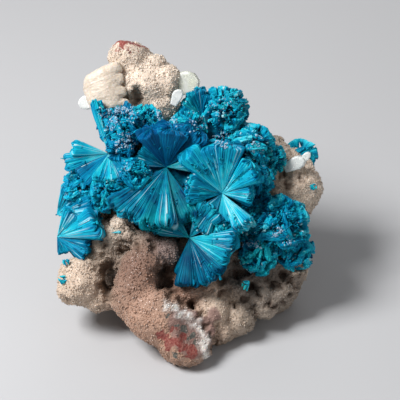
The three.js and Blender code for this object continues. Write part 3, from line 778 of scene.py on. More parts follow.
def ordered(faces):
    """Triangles in an order that is the same in each run."""
    turned = np.array([np.roll(face, -np.argmin(face)) for face in faces])
    return turned[np.lexsort(turned.T[::-1])]


def arrays_of(shape):
    """The corners and the triangles of a shape; the shape is freed."""
    bmesh.ops.triangulate(shape, faces=shape.faces)
    corners = np.array([v.co for v in shape.verts])
    faces = ordered([[v.index for v in f.verts] for f in shape.faces])
    shape.free()
    return corners, faces


def copies_mesh(name, points, faces):
    """One mesh of many copies: points holds the corners of each copy, faces the triangles of one."""
    count, per_copy = points.shape[:2]
    indices = (faces[None] + (np.arange(count) * per_copy)[:, None, None]).reshape(-1)
    mesh = bpy.data.meshes.new(name)
    mesh.vertices.add(count * per_copy)
    mesh.vertices.foreach_set("co", points.astype(np.float32).ravel())
    mesh.loops.add(len(indices))
    mesh.loops.foreach_set("vertex_index", indices.astype(np.int32))
    mesh.polygons.add(len(indices) // 3)
    mesh.polygons.foreach_set("loop_start", np.arange(0, len(indices), 3, dtype=np.int32))
    mesh.update(calc_edges=True)
    return mesh


def joined_copies(name, shape, origins, axes, attributes):
    """Many copies of a small shape as one mesh. axes holds, for each copy, its x, y and z axes as rows.

    attributes gives a value for each copy, or a pair (start, end) of values along the shape's y.
    """
    corners, faces = arrays_of(shape)
    mesh = copies_mesh(name, origins[:, None, :] + np.einsum("kc,ncd->nkd", corners, axes), faces)
    along = np.clip(corners[:, 1], 0, 1)
    for key, value in attributes.items():
        if isinstance(value, tuple):
            start, end = value
            spread = start[:, None] * (1 - along) + end[:, None] * along
        else:
            spread = np.repeat(value[:, None], len(corners), axis=1)
        set_attribute(mesh, key, spread.reshape(-1, *spread.shape[2:]))
    return mesh


def frames(along, across):
    """Sets of three axes from each blade's direction and the direction of its width."""
    across = unit(across - along * np.sum(along * across, axis=1, keepdims=True))
    return np.stack([across, along, np.cross(across, along)], axis=1)


def blade_shape(root_width=0.22, tip_rise=0.06):
    """A thin wedge from y = 0 to y = 1 with a low chisel end, one wide and one thick at its outer end."""
    root_thickness = 0.6
    peak_shift = 0.16
    shape = bmesh.new()
    bmesh.ops.create_cube(shape, size=1)
    bmesh.ops.translate(shape, verts=shape.verts, vec=(0, 0.5, 0))
    for corner in shape.verts:
        if corner.co.y < 0.5:
            corner.co.x *= root_width
            corner.co.z *= root_thickness
    end = next(f for f in shape.faces if f.calc_center_median().y > 0.9)
    peak = bmesh.ops.poke(shape, faces=[end])["verts"][0]
    peak.co.x += peak_shift
    peak.co.y += tip_rise
    return shape


def grain_shape():
    """A tiny blunt crystal with four sides, pointed at both ends."""
    height = 0.6
    shape = bmesh.new()
    bmesh.ops.create_cone(shape, cap_ends=True, segments=4, radius1=0.5, radius2=0, depth=height)
    bmesh.ops.translate(shape, verts=shape.verts, vec=(0, 0, height / 2))
    base = [f for f in shape.faces if len(f.verts) == 4]
    peak = bmesh.ops.poke(shape, faces=base)["verts"][0]
    peak.co.z = -0.5
    return shape


def region_weights(places, spots):
    """How strongly each spot reaches each place, from 0 to 1."""
    fade = 1.6
    weights = []
    for spot, reach, *_ in spots:
        distance = np.linalg.norm(places - np.array(spot), axis=1)
        weights.append(np.exp(-((distance / reach) ** 2) * fade))
    return np.array(weights)


def seen_share(places, spots):
    """How strongly spots seen from the front (x, y, reach) reach each place, their outlines made uneven."""
    fade, wobble = 1.2, 0.3
    x, y = places[:, 0], places[:, 1]
    uneven = np.stack([
        np.sin(2.1 * y + 0.8 * x) + 0.6 * np.sin(5.3 * x),
        np.sin(2.6 * x - y) + 0.6 * np.sin(6.1 * y),
    ], axis=1)
    flat = (places[:, :2] + wobble * uneven)[:, None] - np.array(spots)[None, :, :2]
    near = np.linalg.norm(flat, axis=2) / np.array(spots)[None, :, 2]
    return np.exp(-(near**2) * fade).max(axis=1)


def gap_shade_share(places):
    """How deep in a gap each place of the front is: how far it is sunk and how much painted shade it gets."""
    return seen_share(places, SHADED_GAP_SPOTS) * np.clip((places[:, 2] - DARK_FROM) / 2, 0, 1)


def toe_share(places):
    """Which places lie on the toe's shell-like break."""
    depth = np.linalg.norm(places - np.array(TOE_BREAK["centre"]), axis=1) - TOE_BREAK["radius"]
    return np.clip((0.9 - depth) / 0.4, 0, 1) * near_toe(places, 0)


def near_toe(places, margin):
    """Which places lie within the reach of the toe's break and a margin."""
    return np.linalg.norm(places - np.array(TOE_BREAK["at"]), axis=1) < TOE_BREAK["reach"] + margin


def stone_paint(points, stone):
    """Tint, with painted shade in it, bare rock and red stain at places in the specimen's metres."""
    places = to_face(points)
    weights = region_weights(places, TINT_SPOTS)
    tints = np.array([getattr(stone, spot[2])[:] for spot in TINT_SPOTS])
    coat = 0.12  # weight of the coat's own colour among the tints
    tint = (weights.T @ tints + coat * np.array(stone.tan[:])) / (weights.sum(axis=0) + coat)[:, None]
    on_toe = near_toe(places, 1)
    for share, colour in (
        (toe_share(places) * 0.9, stone.broken),
        (seen_share(places, TOE_RIM) * on_toe * 1.3, stone.rim),
        # the gaps get a painted shade
        (gap_shade_share(places) * 0.92, stone.hollow_shade),
    ):
        share = np.clip(share, 0, 1)[:, None]
        tint = tint * (1 - share) + np.array(colour[:]) * share
    back = np.clip((BACK_FROM - places[:, 2]) / BACK_BLEND + 0.5, 0, 1)
    bare = np.maximum(seen_share(places, TOE_BASALT) * on_toe, back)
    stained = region_weights(places, RED_SPOTS).max(axis=0)
    return tint, bare, np.maximum(stained, seen_share(places, TOE_RED) * on_toe * 1.1)


def dome(distance):
    """Height of a round knob, from 1 at its middle to 0 at its rim, at a distance in cells."""
    return math.sqrt(max(0.0, 1 - (distance / 0.85) ** 2))


def stone_relief(point, rough, stone):
    """How far the stone's surface stands out at a place, in metres, and how deep in a gap it is, from 0 to 1;
    the gap darkens the coat with dirt and painted shade.

    The noise is taken at the place times its fineness, in cells a metre.
    """
    warped = point + noise.noise_vector(point * 300) * 0.0007
    nodule = dome(noise.voronoi(warped / stone.nodule_pitch)[0][0])
    bead = dome(noise.voronoi(warped / (stone.nodule_pitch * 0.4))[0][0])
    swell = noise.noise(point * 210)
    pit = max(0.0, min(1.0, (noise.noise(point * 560 + Vector((3, 9, 4))) - 0.3) / 0.25))
    sugar = noise.noise(point * 3400)
    out = stone.nodule * rough * (1.5 * (nodule - 0.72) + 0.7 * swell - 1.3 * pit)
    out += stone.grit * (0.45 + 0.55 * rough) * ((bead - 0.7) * (0.4 + 1.8 * rough) + 0.6 * sugar)
    gap = 1.1 * (1 - nodule) ** 1.5 + 0.4 * (1 - bead) ** 1.5 + 0.9 * pit
    return out, min(1.0, rough * gap)


class SPECIMEN_OT_stone(Operator):
    """Make the lumpy, druse-coated stone"""

    bl_idname = "specimen.stone"
    bl_label = "Stone"

    def execute(self, context):
        stone = settings()[0]
        mesh, ends, points, normals = smooth_skin("matrix", stone.voxel, rounds=8, normal_rounds=2)
        places = to_face(points)
        rough = 1 - SMOOTH_SHARE * np.minimum(1, 1.3 * region_weights(places, SMOOTH_SPOTS).max(axis=0))
        calm = region_weights(places, CALM_SPOTS).max(axis=0)
        rough *= 1 - CALM_SHARE * calm
        relief, gap = np.array([stone_relief(Vector(p), r, stone) for p, r in zip(points, rough)]).T
        relief *= 1 - CALM_RELIEF * calm
        above_base = np.clip((points[:, 2] - BASE_EDGE) / BASE_FADE, 0, 1)
        moved = points + normals * ((relief - GAP_DEPTH * gap_shade_share(places)) * above_base)[:, None]
        pushes = np.array([push for _, _, push in PUSHES]) @ FACE_TURN.T
        moved += (region_weights(places, PUSHES).T @ pushes) * above_base[:, None]
        moved[:, 2] = np.where(points[:, 2] < BASE_EDGE, 0, np.maximum(moved[:, 2], 0))
        place_corners(mesh, moved)
        hollow_shade = np.sum((smoothed(moved, ends, HOLLOW_ROUNDS) - moved) * normals, axis=1)
        # How dark the hollows and the gaps between nodules are painted: partly dirt, partly painted shade.
        shade_and_dirt = (hollow_shade / HOLLOW_DEPTH + gap - 0.15) * (1 - CALM_SHADE_AND_DIRT * calm) * (0.15 + 0.85 * rough)
        tint, bare, stain = stone_paint(moved, stone)
        looks = {"tint": tint, "bare": bare, "stain": stain, "crevice": np.clip(shade_and_dirt, -1, 1.2)}
        for name, values in looks.items():
            set_attribute(mesh, name, values)
        finish_piece("matrix_stone", mesh, stone_material(stone), ["matrix"])
        return {"FINISHED"}


def scattered(mesh, count, weight_of, rng):
    """Random places on a mesh of triangles or quads with their normals, denser where weight_of is larger."""
    faces = np.array([loop_face.vertices[:] for loop_face in mesh.loop_triangles])
    corners = corners_of(mesh)[faces]
    cross = np.cross(corners[:, 1] - corners[:, 0], corners[:, 2] - corners[:, 0])
    weights = np.linalg.norm(cross, axis=1) * weight_of(corners.mean(axis=1), unit(cross))
    picked = rng.choice(len(faces), size=count, p=weights / weights.sum())
    a, b = rng.random((2, count, 1))
    flip = a + b > 1
    a, b = np.where(flip, 1 - a, a), np.where(flip, 1 - b, b)
    tri = corners[picked]
    places = tri[:, 0] + a * (tri[:, 1] - tri[:, 0]) + b * (tri[:, 2] - tri[:, 0])
    return places, unit(cross[picked])


def druse_growth(stone, on_back):
    """Gives how thickly the druse grows at places of the stone's front, or of its back and sides."""

    def growth(centres, normals):
        places = to_face(centres)
        _, bare, stain = stone_paint(centres, stone)
        seen = np.clip(outward(normals) + 0.75, 0, 1) * (places[:, 2] > FRONT_DEPTH)
        if on_back:
            return (1 - seen) * (1.02 - bare) * (centres[:, 2] > 0.0006)
        broken = np.clip(toe_share(places) - 1.2 * seen_share(places, TOE_RIM), 0, 1)
        uncovered = np.maximum(np.maximum(bare, stain > 0.45), 0.85 * broken)
        return seen * (1 - 0.97 * uncovered) * (centres[:, 2] > 0.0004)

    return growth


class SPECIMEN_OT_druse(Operator):
    """Cover the stone in tiny crystals"""

    bl_idname = "specimen.druse"
    bl_label = "Druse"

    def execute(self, context):
        stone = settings()[0]
        ground = bpy.data.objects["matrix_stone"].data
        ground.calc_loop_triangles()
        material = druse_material()
        raised = 0.12  # how far out of the coat a crystal's widest part stands, in sizes of the crystal
        for name, count, on_back, seed in (
            ("druse_front", stone.front_grains, False, 11),
            ("druse_back", stone.back_grains, True, 12),
        ):
            rng = np.random.default_rng(seed)
            places, normals = scattered(ground, count, druse_growth(stone, on_back), rng)
            upright = unit(normals + rng.normal(0, 0.5, (count, 3)))
            turned = frames(upright, rng.normal(size=(count, 3)))
            tint, _, _ = stone_paint(places, stone)
            gap_shade = gap_shade_share(to_face(places))
            size = stone.grain * np.exp(rng.normal(0, 0.3, count))
            size = size * np.clip(1.6 - tint[:, 0], 0.6, 1) * (1 - 0.5 * gap_shade)
            tint = tint * rng.uniform(0.86, 1.2, (count, 1))
            # In the gaps the grains lose their whitening: painted shade.
            shade = rng.random(count) * (1 - gap_shade) + 0.1 * tint[:, 0]
            # The shape's z, its long axis, stands upright.
            axes = turned[:, [0, 2, 1]] * np.array([1, -1, 1])[None, :, None]
            stretch = np.stack([size * 0.85, size * 0.85, size * rng.uniform(0.6, 1.0, count)], axis=1)
            origins = places + normals * size[:, None] * raised
            looks = {"tint": tint, "shade": shade}
            mesh = joined_copies(name, grain_shape(), origins, axes * stretch[:, :, None], looks)
            finish_piece(name, mesh, material)
        return {"FINISHED"}


def petal_template(segments, rings):
    """A ball, as the angle round it, the share of the way from its lower to its upper pole, and its faces."""
    shape = bmesh.new()
    bmesh.ops.create_uvsphere(shape, u_segments=segments, v_segments=rings, radius=1)
    bmesh.ops.triangulate(shape, faces=shape.faces)
    bmesh.ops.recalc_face_normals(shape, faces=shape.faces)
    corners, faces = arrays_of(shape)
    around = np.arctan2(corners[:, 1], corners[:, 0])
    return around, np.arccos(np.clip(-corners[:, 2], -1, 1)) / math.pi, faces


def petal_surface(share, cap):
    """Distance along a petal, a cone with a domed end, and its radius there, at shares of the way."""
    on_dome = np.clip((share - CONE_SHARE) / (1 - CONE_SHARE), 0, 1) * (math.pi / 2)
    cone = np.clip(share / CONE_SHARE, 0, 1)
    along = cone * (1 - cap) + cap * np.sin(on_dome)
    return along, cone * np.cos(on_dome) ** 0.42


def squarish(wave, power):
    """A sine or cosine whose curve is made fuller, so a circle of them grows corners."""
    return np.sign(wave) * np.abs(wave) ** power


def strips(rng, count, segments, strip):
    """A number from -1 to 1 for each strip of each petal: alike in a bundle, with a little of its own."""
    bundle = np.cumsum(rng.random((count, segments)) < BUNDLES / segments, axis=1)[:, strip]
    coarse = np.take_along_axis(rng.uniform(-1, 1, (count, segments + 1)), bundle, axis=1)
    return 0.68 * coarse + 0.32 * rng.uniform(-1, 1, (count, segments))[:, strip]


def petal_mesh(name, rng, petals, segments, rings, roundness=0.6):
    """All the petals as one mesh: cones of flat strips with ragged ends, in the specimen's metres."""
    around, share, faces = petal_template(segments, rings)
    count = len(petals["reach"])
    one = {key: value[:, None] for key, value in petals.items() if key not in ("glow", "frame")}
    root, end = (glow[:, None] for glow in petals["glow"])
    strip = np.round((around + math.pi) / (2 * math.pi) * segments).astype(int) % segments
    along, radius = petal_surface(share[None], one["cap"])
    side = squarish(np.cos(around), SIDE_POWER)
    height = squarish(np.sin(around), roundness)
    ridge, ragged, light = (strips(rng, count, segments, strip) for _ in range(3))
    streak = (rng.random((count, segments)) < one["frost"] * 0.8)[:, strip]
    middle = rng.uniform(0.15, 0.95, (count, segments))[:, strip]
    half = rng.uniform(0.15, 0.5, (count, segments))[:, strip]
    outer = np.clip(along, 0, 1)
    x = radius * side * one["width"]
    z = radius * (1 + 0.08 * ridge) * height * one["thickness"] * (1 - one["wedge"] * outer**3)
    z = z + one["curl"] * along**2
    y = one["reach"] * along * (1 + one["ragged"] * ragged * along**4)
    points = one["place"]
    for distance, axis in zip((x, y, z), petals["frame"].transpose(1, 0, 2)):
        points = points + distance[..., None] * axis[:, None]
    mesh = copies_mesh(name, from_face(points), faces)
    mesh.shade_flat()
    glow = root * (1 - outer) + end * outer + 0.27 * light * (0.4 + 0.6 * outer)
    window = np.clip(1.2 - ((outer - middle) / half) ** 2, 0, 1)
    set_attribute(mesh, "glow", glow.ravel())
    set_attribute(mesh, "frost", (0.55 * streak * window * np.clip(8 * outer, 0, 1)).ravel())
    set_attribute(mesh, "teal", np.repeat(one["teal"], len(around), 1).ravel())
    strand = np.stack([
        side * one["width"] * 3.2 + rng.uniform(0, 90, (count, 1)),
        height * one["thickness"] * 0.8,
        along * one["reach"] * 0.14 + np.zeros((count, 1)),
    ], axis=2)
    set_vector(mesh, "strand", strand.reshape(-1, 3))
    return mesh


def blade_arrays(origin, along, across, stretch):
    """Places and scaled axes of blades that leave points of the face, in the specimen's metres."""
    return from_face(origin), (frames(along, across) @ (FACE_TURN / MM).T) * stretch[:, :, None]


def petal_blades(rng, petals, crystals, per_petal, surface, frost_and_glint_gain):
    """Thin blades that lie on the petals' upper sides, or with surface False stand in their domed ends."""
    pick = np.repeat(np.arange(len(petals["reach"])), per_petal)
    count = len(pick)
    cap, reach, wide, thick = (petals[key][pick] for key in ("cap", "reach", "width", "thickness"))
    if surface:
        around = rng.uniform(0.12, 0.88, count) * math.pi
        inner = np.full(count, 1.0)
        first = rng.uniform(0.04, 0.7, count)
        last = first + rng.uniform(0.25, 0.6, count)
        last = np.minimum(last, rng.uniform(0.86, 1.05, count))
        end_along = 1 - cap
    else:
        around = rng.uniform(0, 2 * math.pi, count)
        inner = np.sqrt(rng.random(count))
        last = 1 + rng.uniform(-0.01, 0.045, count)
        first = last - rng.uniform(0.2, 0.4, count)
        end_along = (1 - cap) + cap * np.sqrt(1 - inner**2 * 0.98)
    cosine, sine = np.cos(around), np.sin(around)
    x = inner * squarish(cosine, SIDE_POWER) * wide
    z = inner * squarish(sine, 0.7) * thick
    axes = petals["frame"][pick]
    whole = x[:, None] * axes[:, 0] + (reach * end_along)[:, None] * axes[:, 1] + z[:, None] * axes[:, 2]
    spine = petals["place"][pick] + (petals["curl"][pick] * last**2)[:, None] * axes[:, 2] * 0.9
    tangent = -sine[:, None] * axes[:, 0] * wide[:, None] + cosine[:, None] * axes[:, 2] * thick[:, None]
    tangent = unit(tangent) + rng.normal(0, 0.25, (count, 3)) * (1 if surface else 3)
    size = (0.45 + 0.55 * last) * (0.75 if surface else 1.2)
    width = crystals.width * rng.uniform(0.45, 1.0, count) * size
    thickness = crystals.thickness * rng.uniform(0.7, 1.5, count)
    length = (last - first) * np.linalg.norm(whole, axis=1) * MM
    stretch = np.stack([width, length, thickness], axis=1)
    origins, turned = blade_arrays(spine + whole * first[:, None], unit(whole), tangent, stretch)
    white = (rng.random(count) < petals["frost"][pick] * frost_and_glint_gain) * rng.uniform(0.4, 1.0, count)
    root, end = petals["glow"]
    glow = root[pick] * (1 - last) + end[pick] * last + rng.normal(0.03, 0.1, count)
    return {
        "origins": origins,
        "axes": turned,
        "glow": (glow, glow + 0.05),
        "frost": (white, white),
        "teal": petals["teal"][pick],
    }


def fan_petals(rng, spray, fan):
    """The petals of one fan, in rows from its top slope down to its bottom slope."""
    start, stop, reach, top, bottom, glow, frost, teal = fan
    span = stop - start
    across = max(1, round(span / PETAL_SPAN))
    rows = max(2, round((top - bottom) / PETAL_DROP))
    row = np.repeat(np.arange(rows), across)
    count = rows * across
    thick = (top - bottom) / rows / 2
    angle = start + span * (np.tile(np.arange(across), rows) + 0.5) / across
    angle = angle + np.where(row > 0, rng.uniform(-4, 4, count), rng.uniform(-1, 1, count))
    slope = top - thick * (2 * row + 1) + rng.uniform(-1.6, 1.6, count)
    lengths = reach * rng.uniform(0.9, 1.03, count) * (1 - 0.04 * row)
    along = directions(angle, slope)
    sideways = directions(angle - 1, slope + rng.uniform(-0.12, 0.12, count)) - along
    half = np.radians(span / across / 2 * 1.16)
    root_glow = glow + (0.42 if glow > BRIGHT_FAN else -0.1)
    narrow_cap = 0.22 if span < 8 else 0
    return {
        "place": np.tile(np.array(spray), (count, 1)),
        "frame": frames(along, sideways),
        "reach": lengths,
        "width": lengths * math.tan(half) * rng.uniform(0.95, 1.1, count),
        "thickness": lengths * math.tan(math.radians(thick * 1.35)),
        "cap": rng.uniform(0.04, 0.09, count) + narrow_cap,
        "curl": lengths * rng.uniform(-0.035, 0.035, count),
        "wedge": np.zeros(count),
        "ragged": rng.uniform(0.05, 0.1, count),
        "glow": (
            root_glow - 0.2 * row / rows + rng.uniform(-0.06, 0.06, count),
            glow - 0.06 - 0.3 * row / rows + rng.uniform(-0.08, 0.08, count),
        ),
        "frost": np.where(row == 0, frost, frost * 0.3),
        "teal": teal * rng.uniform(0.5, 1.0, count),
        "row": row,
    }


def sphere_directions(rng, count):
    """Directions spread evenly over a sphere."""
    k = np.arange(count) + 0.5
    z = 1 - 2 * k / count
    turn = k * math.pi * (3 - math.sqrt(5)) + rng.uniform(0, 6)  # in steps of the golden angle
    flat = np.sqrt(1 - z * z)
    even = np.stack([flat * np.cos(turn), flat * np.sin(turn), z], axis=1)
    return unit(even + rng.normal(0, 0.14, (count, 3)))


def rosette_petals(rng, rosette, petals=None):
    """The petals of a ball seen from their ends; the ones that point into the stone are left out."""
    place, radius, glow, frost, teal = rosette
    petals = petals or round(ROSETTE_PETALS * (radius / 3) ** 1.1)
    radial = sphere_directions(rng, petals)
    radial = radial[radial[:, 2] > -0.5]
    count = len(radial)
    half = radius * math.sqrt(4 / petals)
    inner = rng.uniform(0.1, 0.42, (count, 1))
    along = unit(radial + rng.normal(0, 0.34, (count, 3)))
    lengths = radius * rng.uniform(0.92, 1.08, count) * (1 - inner[:, 0])
    return {
        "place": np.array(place) + radial * radius * inner,
        "frame": frames(along, rng.normal(size=(count, 3))),
        "reach": lengths,
        "width": half * rng.uniform(0.8, 1.9, count),
        "thickness": half * rng.uniform(0.45, 0.95, count),
        "cap": rng.uniform(0.03, 0.09, count),
        "curl": lengths * rng.uniform(-0.1, 0.1, count),
        "wedge": rng.uniform(0.2, 0.8, count),
        "ragged": rng.uniform(0.05, 0.11, count),
        # Darker at the roots deep in the ball than at the ends: painted shade in the ball's gaps.
        "glow": (glow + rng.uniform(-0.1, 0.1, count), glow + 0.27 + rng.uniform(-0.2, 0.2, count)),
        "frost": np.full(count, frost),
        "teal": teal * rng.uniform(0.3, 1.0, count),
        "row": np.zeros(count, int),
    }


def chosen(parts, keep):
    """The entries of a set of petals where keep is true."""
    picked = {}
    for key, value in parts.items():
        picked[key] = tuple(v[keep] for v in value) if isinstance(value, tuple) else value[keep]
    return picked


def together(parts):
    """Several sets of petals or blades as one."""
    joined = {}
    for key in parts[0]:
        if isinstance(parts[0][key], tuple):
            joined[key] = tuple(np.concatenate([part[key][i] for part in parts]) for i in range(2))
        else:
            joined[key] = np.concatenate([part[key] for part in parts])
    return joined


def blade_mesh(name, rng, blades, shape):
    """Many blades as one mesh, each with its own stretch of the streaks in the material."""
    looks = {key: blades[key] for key in ("glow", "frost", "teal")}
    count, corners = len(blades["origins"]), len(shape.verts)
    across, along = np.array([v.co[:2] for v in shape.verts]).T
    mesh = joined_copies(name, shape, blades["origins"], blades["axes"], looks)
    strand = np.stack([
        np.tile(across, (count, 1)),
        np.tile(along * 0.5, (count, 1)),
        np.repeat(rng.uniform(0, 90, (count, 1)), corners, 1),
    ], axis=2)
    set_vector(mesh, "strand", strand.reshape(-1, 3))
    return mesh


class SPECIMEN_OT_bed(Operator):
    """Make the fused mass of blue crystal under the sprays, with its mat of short blades"""

    bl_idname = "specimen.bed"
    bl_label = "Crystal Bed"

    def execute(self, context):
        stone, crystals, _ = settings()
        material = cavansite_material(crystals)
        cell = stone.voxel * 1.15
        mesh, _, points, normals = smooth_skin("cavansite_cluster", cell, rounds=3, normal_rounds=2)
        place_corners(mesh, points - normals * BED_SUNK)
        mesh.calc_loop_triangles()
        for name, value in (("glow", 0.12), ("frost", 0.0), ("teal", 0.3)):
            set_attribute(mesh, name, np.full(len(points), value))
        set_vector(mesh, "strand", to_face(corners_of(mesh)) * 0.8)
        finish_piece("cavansite_bed", mesh, material, ["cavansite_cluster"])
        sprays = np.array([place for place, _ in OPEN_SPRAYS])

        def between_sprays(centres, facing):
            gaps = np.linalg.norm(to_face(centres)[:, None] - sprays[None], axis=2).min(axis=1)
            return np.clip(outward(facing) + 0.6, 0, 1) * (gaps > CLEAR_OF_SPRAYS)

        rng = np.random.default_rng(21)
        count = MAT_BLADES
        places, normals = scattered(mesh, count, between_sprays, rng)
        lean = np.array([noise.noise_vector(Vector(p) * 700)[:] for p in places])
        along = unit(normals + 0.9 * lean + rng.normal(0, 0.22, (count, 3)))
        across = np.array([noise.noise_vector(Vector(p) * 500 + Vector((5, 1, 3)))[:] for p in places])
        length = MAT_LENGTH * rng.uniform(0.6, 1.25, count)
        width = crystals.width * rng.uniform(0.8, 1.5, count)
        thickness = crystals.thickness * rng.uniform(0.9, 1.6, count)
        glow = 0.3 + rng.normal(0, 0.1, count) + 0.1 * np.sin(to_face(places)[:, 0] * 0.9)
        white = (rng.random(count) < 0.03) * rng.uniform(0.3, 1.0, count)
        blades = {
            "origins": places - along * 0.0003,
            "axes": frames(along, across) * np.stack([width, length, thickness], axis=1)[:, :, None],
            "glow": (glow - 0.15, glow + 0.05),
            "frost": (white * 0.2, white),
            "teal": rng.uniform(0, 0.8, count),
        }
        mesh = blade_mesh("cavansite_mat", rng, blades, blade_shape(root_width=0.6, tip_rise=0.12))
        finish_piece("cavansite_mat", mesh, material)
        return {"FINISHED"}


class SPECIMEN_OT_sprays(Operator):
    """Make the sprays that are broken open, petal by petal, and the loose blade"""

    bl_idname = "specimen.sprays"
    bl_label = "Open Sprays"

    def execute(self, context):
        crystals = settings()[1]
        material = bpy.data.materials["Cavansite"]
        rng = np.random.default_rng(31)
        groups = {
            "cavansite_star": OPEN_SPRAYS[:2],
            "cavansite_hanging_fans": OPEN_SPRAYS[2:3],
            "cavansite_left_sprays": [*OPEN_SPRAYS[3:], LOOSE_BLADE],
        }
        for name, sprays in groups.items():
            petals = together([fan_petals(rng, place, fan) for place, fans in sprays for fan in fans])
            upper = chosen(petals, petals["row"] == 0)
            lower = chosen(petals, petals["row"] > 0)
            mesh = petal_mesh(name, rng, upper, segments=84, rings=14, roundness=0.4)
            finish_piece(name, mesh, material)
            mesh = petal_mesh(name + "_sides", rng, lower, segments=30, rings=9)
            finish_piece(name + "_sides", mesh, material)
            blades = together([
                petal_blades(rng, upper, crystals, per_petal=9, surface=True, frost_and_glint_gain=0.4),
                petal_blades(rng, petals, crystals, per_petal=14, surface=False, frost_and_glint_gain=0.6),
            ])
            mesh = blade_mesh(name + "_blades", rng, blades, blade_shape())
            finish_piece(name + "_blades", mesh, material)
        return {"FINISHED"}


class SPECIMEN_OT_rosettes(Operator):
    """Make the ball-shaped rosettes, the far spray and the specks"""

    bl_idname = "specimen.rosettes"
    bl_label = "Rosettes"

    def execute(self, context):
        crystals = settings()[1]
        material = bpy.data.materials["Cavansite"]
        rng = np.random.default_rng(41)
        for name, rosettes, petal_count, replaced in (
            ("cavansite_rosettes", ROSETTES, None, ()),
            ("cavansite_far_blades", [FAR_SPRAY], 34, ["cavansite_far_spray"]),
        ):
            petals = together([rosette_petals(rng, rosette, petal_count) for rosette in rosettes])
            mesh = petal_mesh(name, rng, petals, segments=16, rings=7)
            finish_piece(name, mesh, material, replaced)
            blades = together([
                petal_blades(rng, petals, crystals, per_petal=4, surface=True, frost_and_glint_gain=1.2),
                petal_blades(rng, petals, crystals, per_petal=4, surface=False, frost_and_glint_gain=0.8),
            ])
            mesh = blade_mesh(name + "_ends", rng, blades, blade_shape(root_width=0.5, tip_rise=0.07))
            finish_piece(name + "_ends", mesh, material)
        for i, speck in enumerate(SPECKS, 1):
            name = f"cavansite_speck_{i}"
            petals = rosette_petals(rng, speck, petals=9)
            mesh = petal_mesh(name + "_crystals", rng, petals, segments=12, rings=8)
            finish_piece(name + "_crystals", mesh, material, [name])
        return {"FINISHED"}


def dropped(places, pieces):
    """Where places of the face, moved straight in, meet a piece, in metres, and the normals there."""
    inward = Vector(-FACE_ARRAY[:3, 2] / MM)
    in_front = 30.0
    met, facing = [], []
    for start in from_face(np.column_stack([places, np.full(len(places), in_front)])):
        hits = [piece.ray_cast(Vector(start), inward) for piece in pieces]
        hits = [(hit[1], hit[2]) for hit in hits if hit[0]]
        if hits:
            first = min(hits, key=lambda hit: (hit[0] - Vector(start)).length)
            met.append(first[0])
            facing.append(first[1])
    return np.array(met), np.array(facing)


class SPECIMEN_OT_sprinkles(Operator):
    """Sprinkle tiny pale crystals over the blue ones"""

    bl_idname = "specimen.sprinkles"
    bl_label = "Pale Sprinkles"

    def execute(self, context):
        rng = np.random.default_rng(51)
        context.view_layer.update()
        carriers = ("bed", "rosettes", "star", "hanging_fans", "left_sprays")
        pieces = [bpy.data.objects["cavansite_" + name] for name in carriers]
        places = []
        for x, y, radius, crowd in PALE_SPRINKLES:
            count = round(1.5 * crowd * math.pi * radius**2)
            angle = rng.uniform(0, 2 * math.pi, count)
            out = radius * np.sqrt(rng.random(count)) * (1 + 0.35 * np.sin(3 * angle + x))
            places.append(np.stack([x + out * np.cos(angle), y + out * np.sin(angle)], axis=1))
        met, facing = dropped(np.concatenate(places), pieces)
        count = len(met)
        along = unit(facing + rng.normal(0, 0.6, (count, 3)))
        size = rng.uniform(0.16, 0.36, count) * MM
        axes = frames(along, rng.normal(size=(count, 3)))
        wide, thick = size * rng.uniform(0.7, 1.0, count), size * rng.uniform(0.35, 0.6, count)
        stretch = np.stack([wide, size, thick], axis=1)
        looks = {"shade": rng.random(count), "tint": np.tile(SPRINKLE_BLUE, (count, 1))}
        origins = met - along * size[:, None] * 0.35
        axes = axes * stretch[:, :, None]
        shape = blade_shape(root_width=0.95, tip_rise=0.12)
        mesh = joined_copies("pale_sprinkle", shape, origins, axes, looks)
        finish_piece("pale_sprinkle", mesh, bpy.data.materials["Druse Crystals"])
        return {"FINISHED"}


def add_clear_blade(whole, place, size, turn, tip):
    """Adds a flat crystal: eight-sided outline, stepped growth faces, bevelled edges and slightly uneven."""
    width, length, thickness = size
    shape = bmesh.new()
    corners = [shape.verts.new((x * width, y * length, -thickness / 2)) for x, y in BLADE_OUTLINE]
    raised = bmesh.ops.extrude_face_region(shape, geom=[shape.faces.new(corners)])["geom"]
    top = [v for v in raised if isinstance(v, bmesh.types.BMVert)]
    bmesh.ops.translate(shape, verts=top, vec=(0, 0, thickness))
    bmesh.ops.recalc_face_normals(shape, faces=shape.faces)
    flats = [f for f in shape.faces if len(f.verts) == len(BLADE_OUTLINE)]
    bmesh.ops.inset_region(shape, faces=flats, thickness=width * 0.12, depth=thickness * 0.1)
    edges = shape.edges[:]
    bmesh.ops.bevel(
        shape, geom=edges, offset=thickness * 0.1, segments=2, profile=0.5, affect="EDGES", material=-1
    )
    bmesh.ops.triangulate(shape, faces=[f for f in shape.faces if len(f.verts) > 4])
    bmesh.ops.subdivide_edges(shape, edges=shape.edges[:], cuts=1, use_grid_fill=True)
    for corner in shape.verts:
        corner.co += noise.noise_vector(corner.co * 1.3 + Vector(place)) * 0.05 * thickness
    turn = Matrix.Rotation(math.radians(turn), 4, "Z") @ Matrix.Rotation(math.radians(tip), 4, "X")
    bmesh.ops.transform(shape, matrix=FACE @ Matrix.Translation(place) @ turn, verts=shape.verts)
    mesh = mesh_of(shape, "blade")
    whole.from_mesh(mesh)
    bpy.data.meshes.remove(mesh)


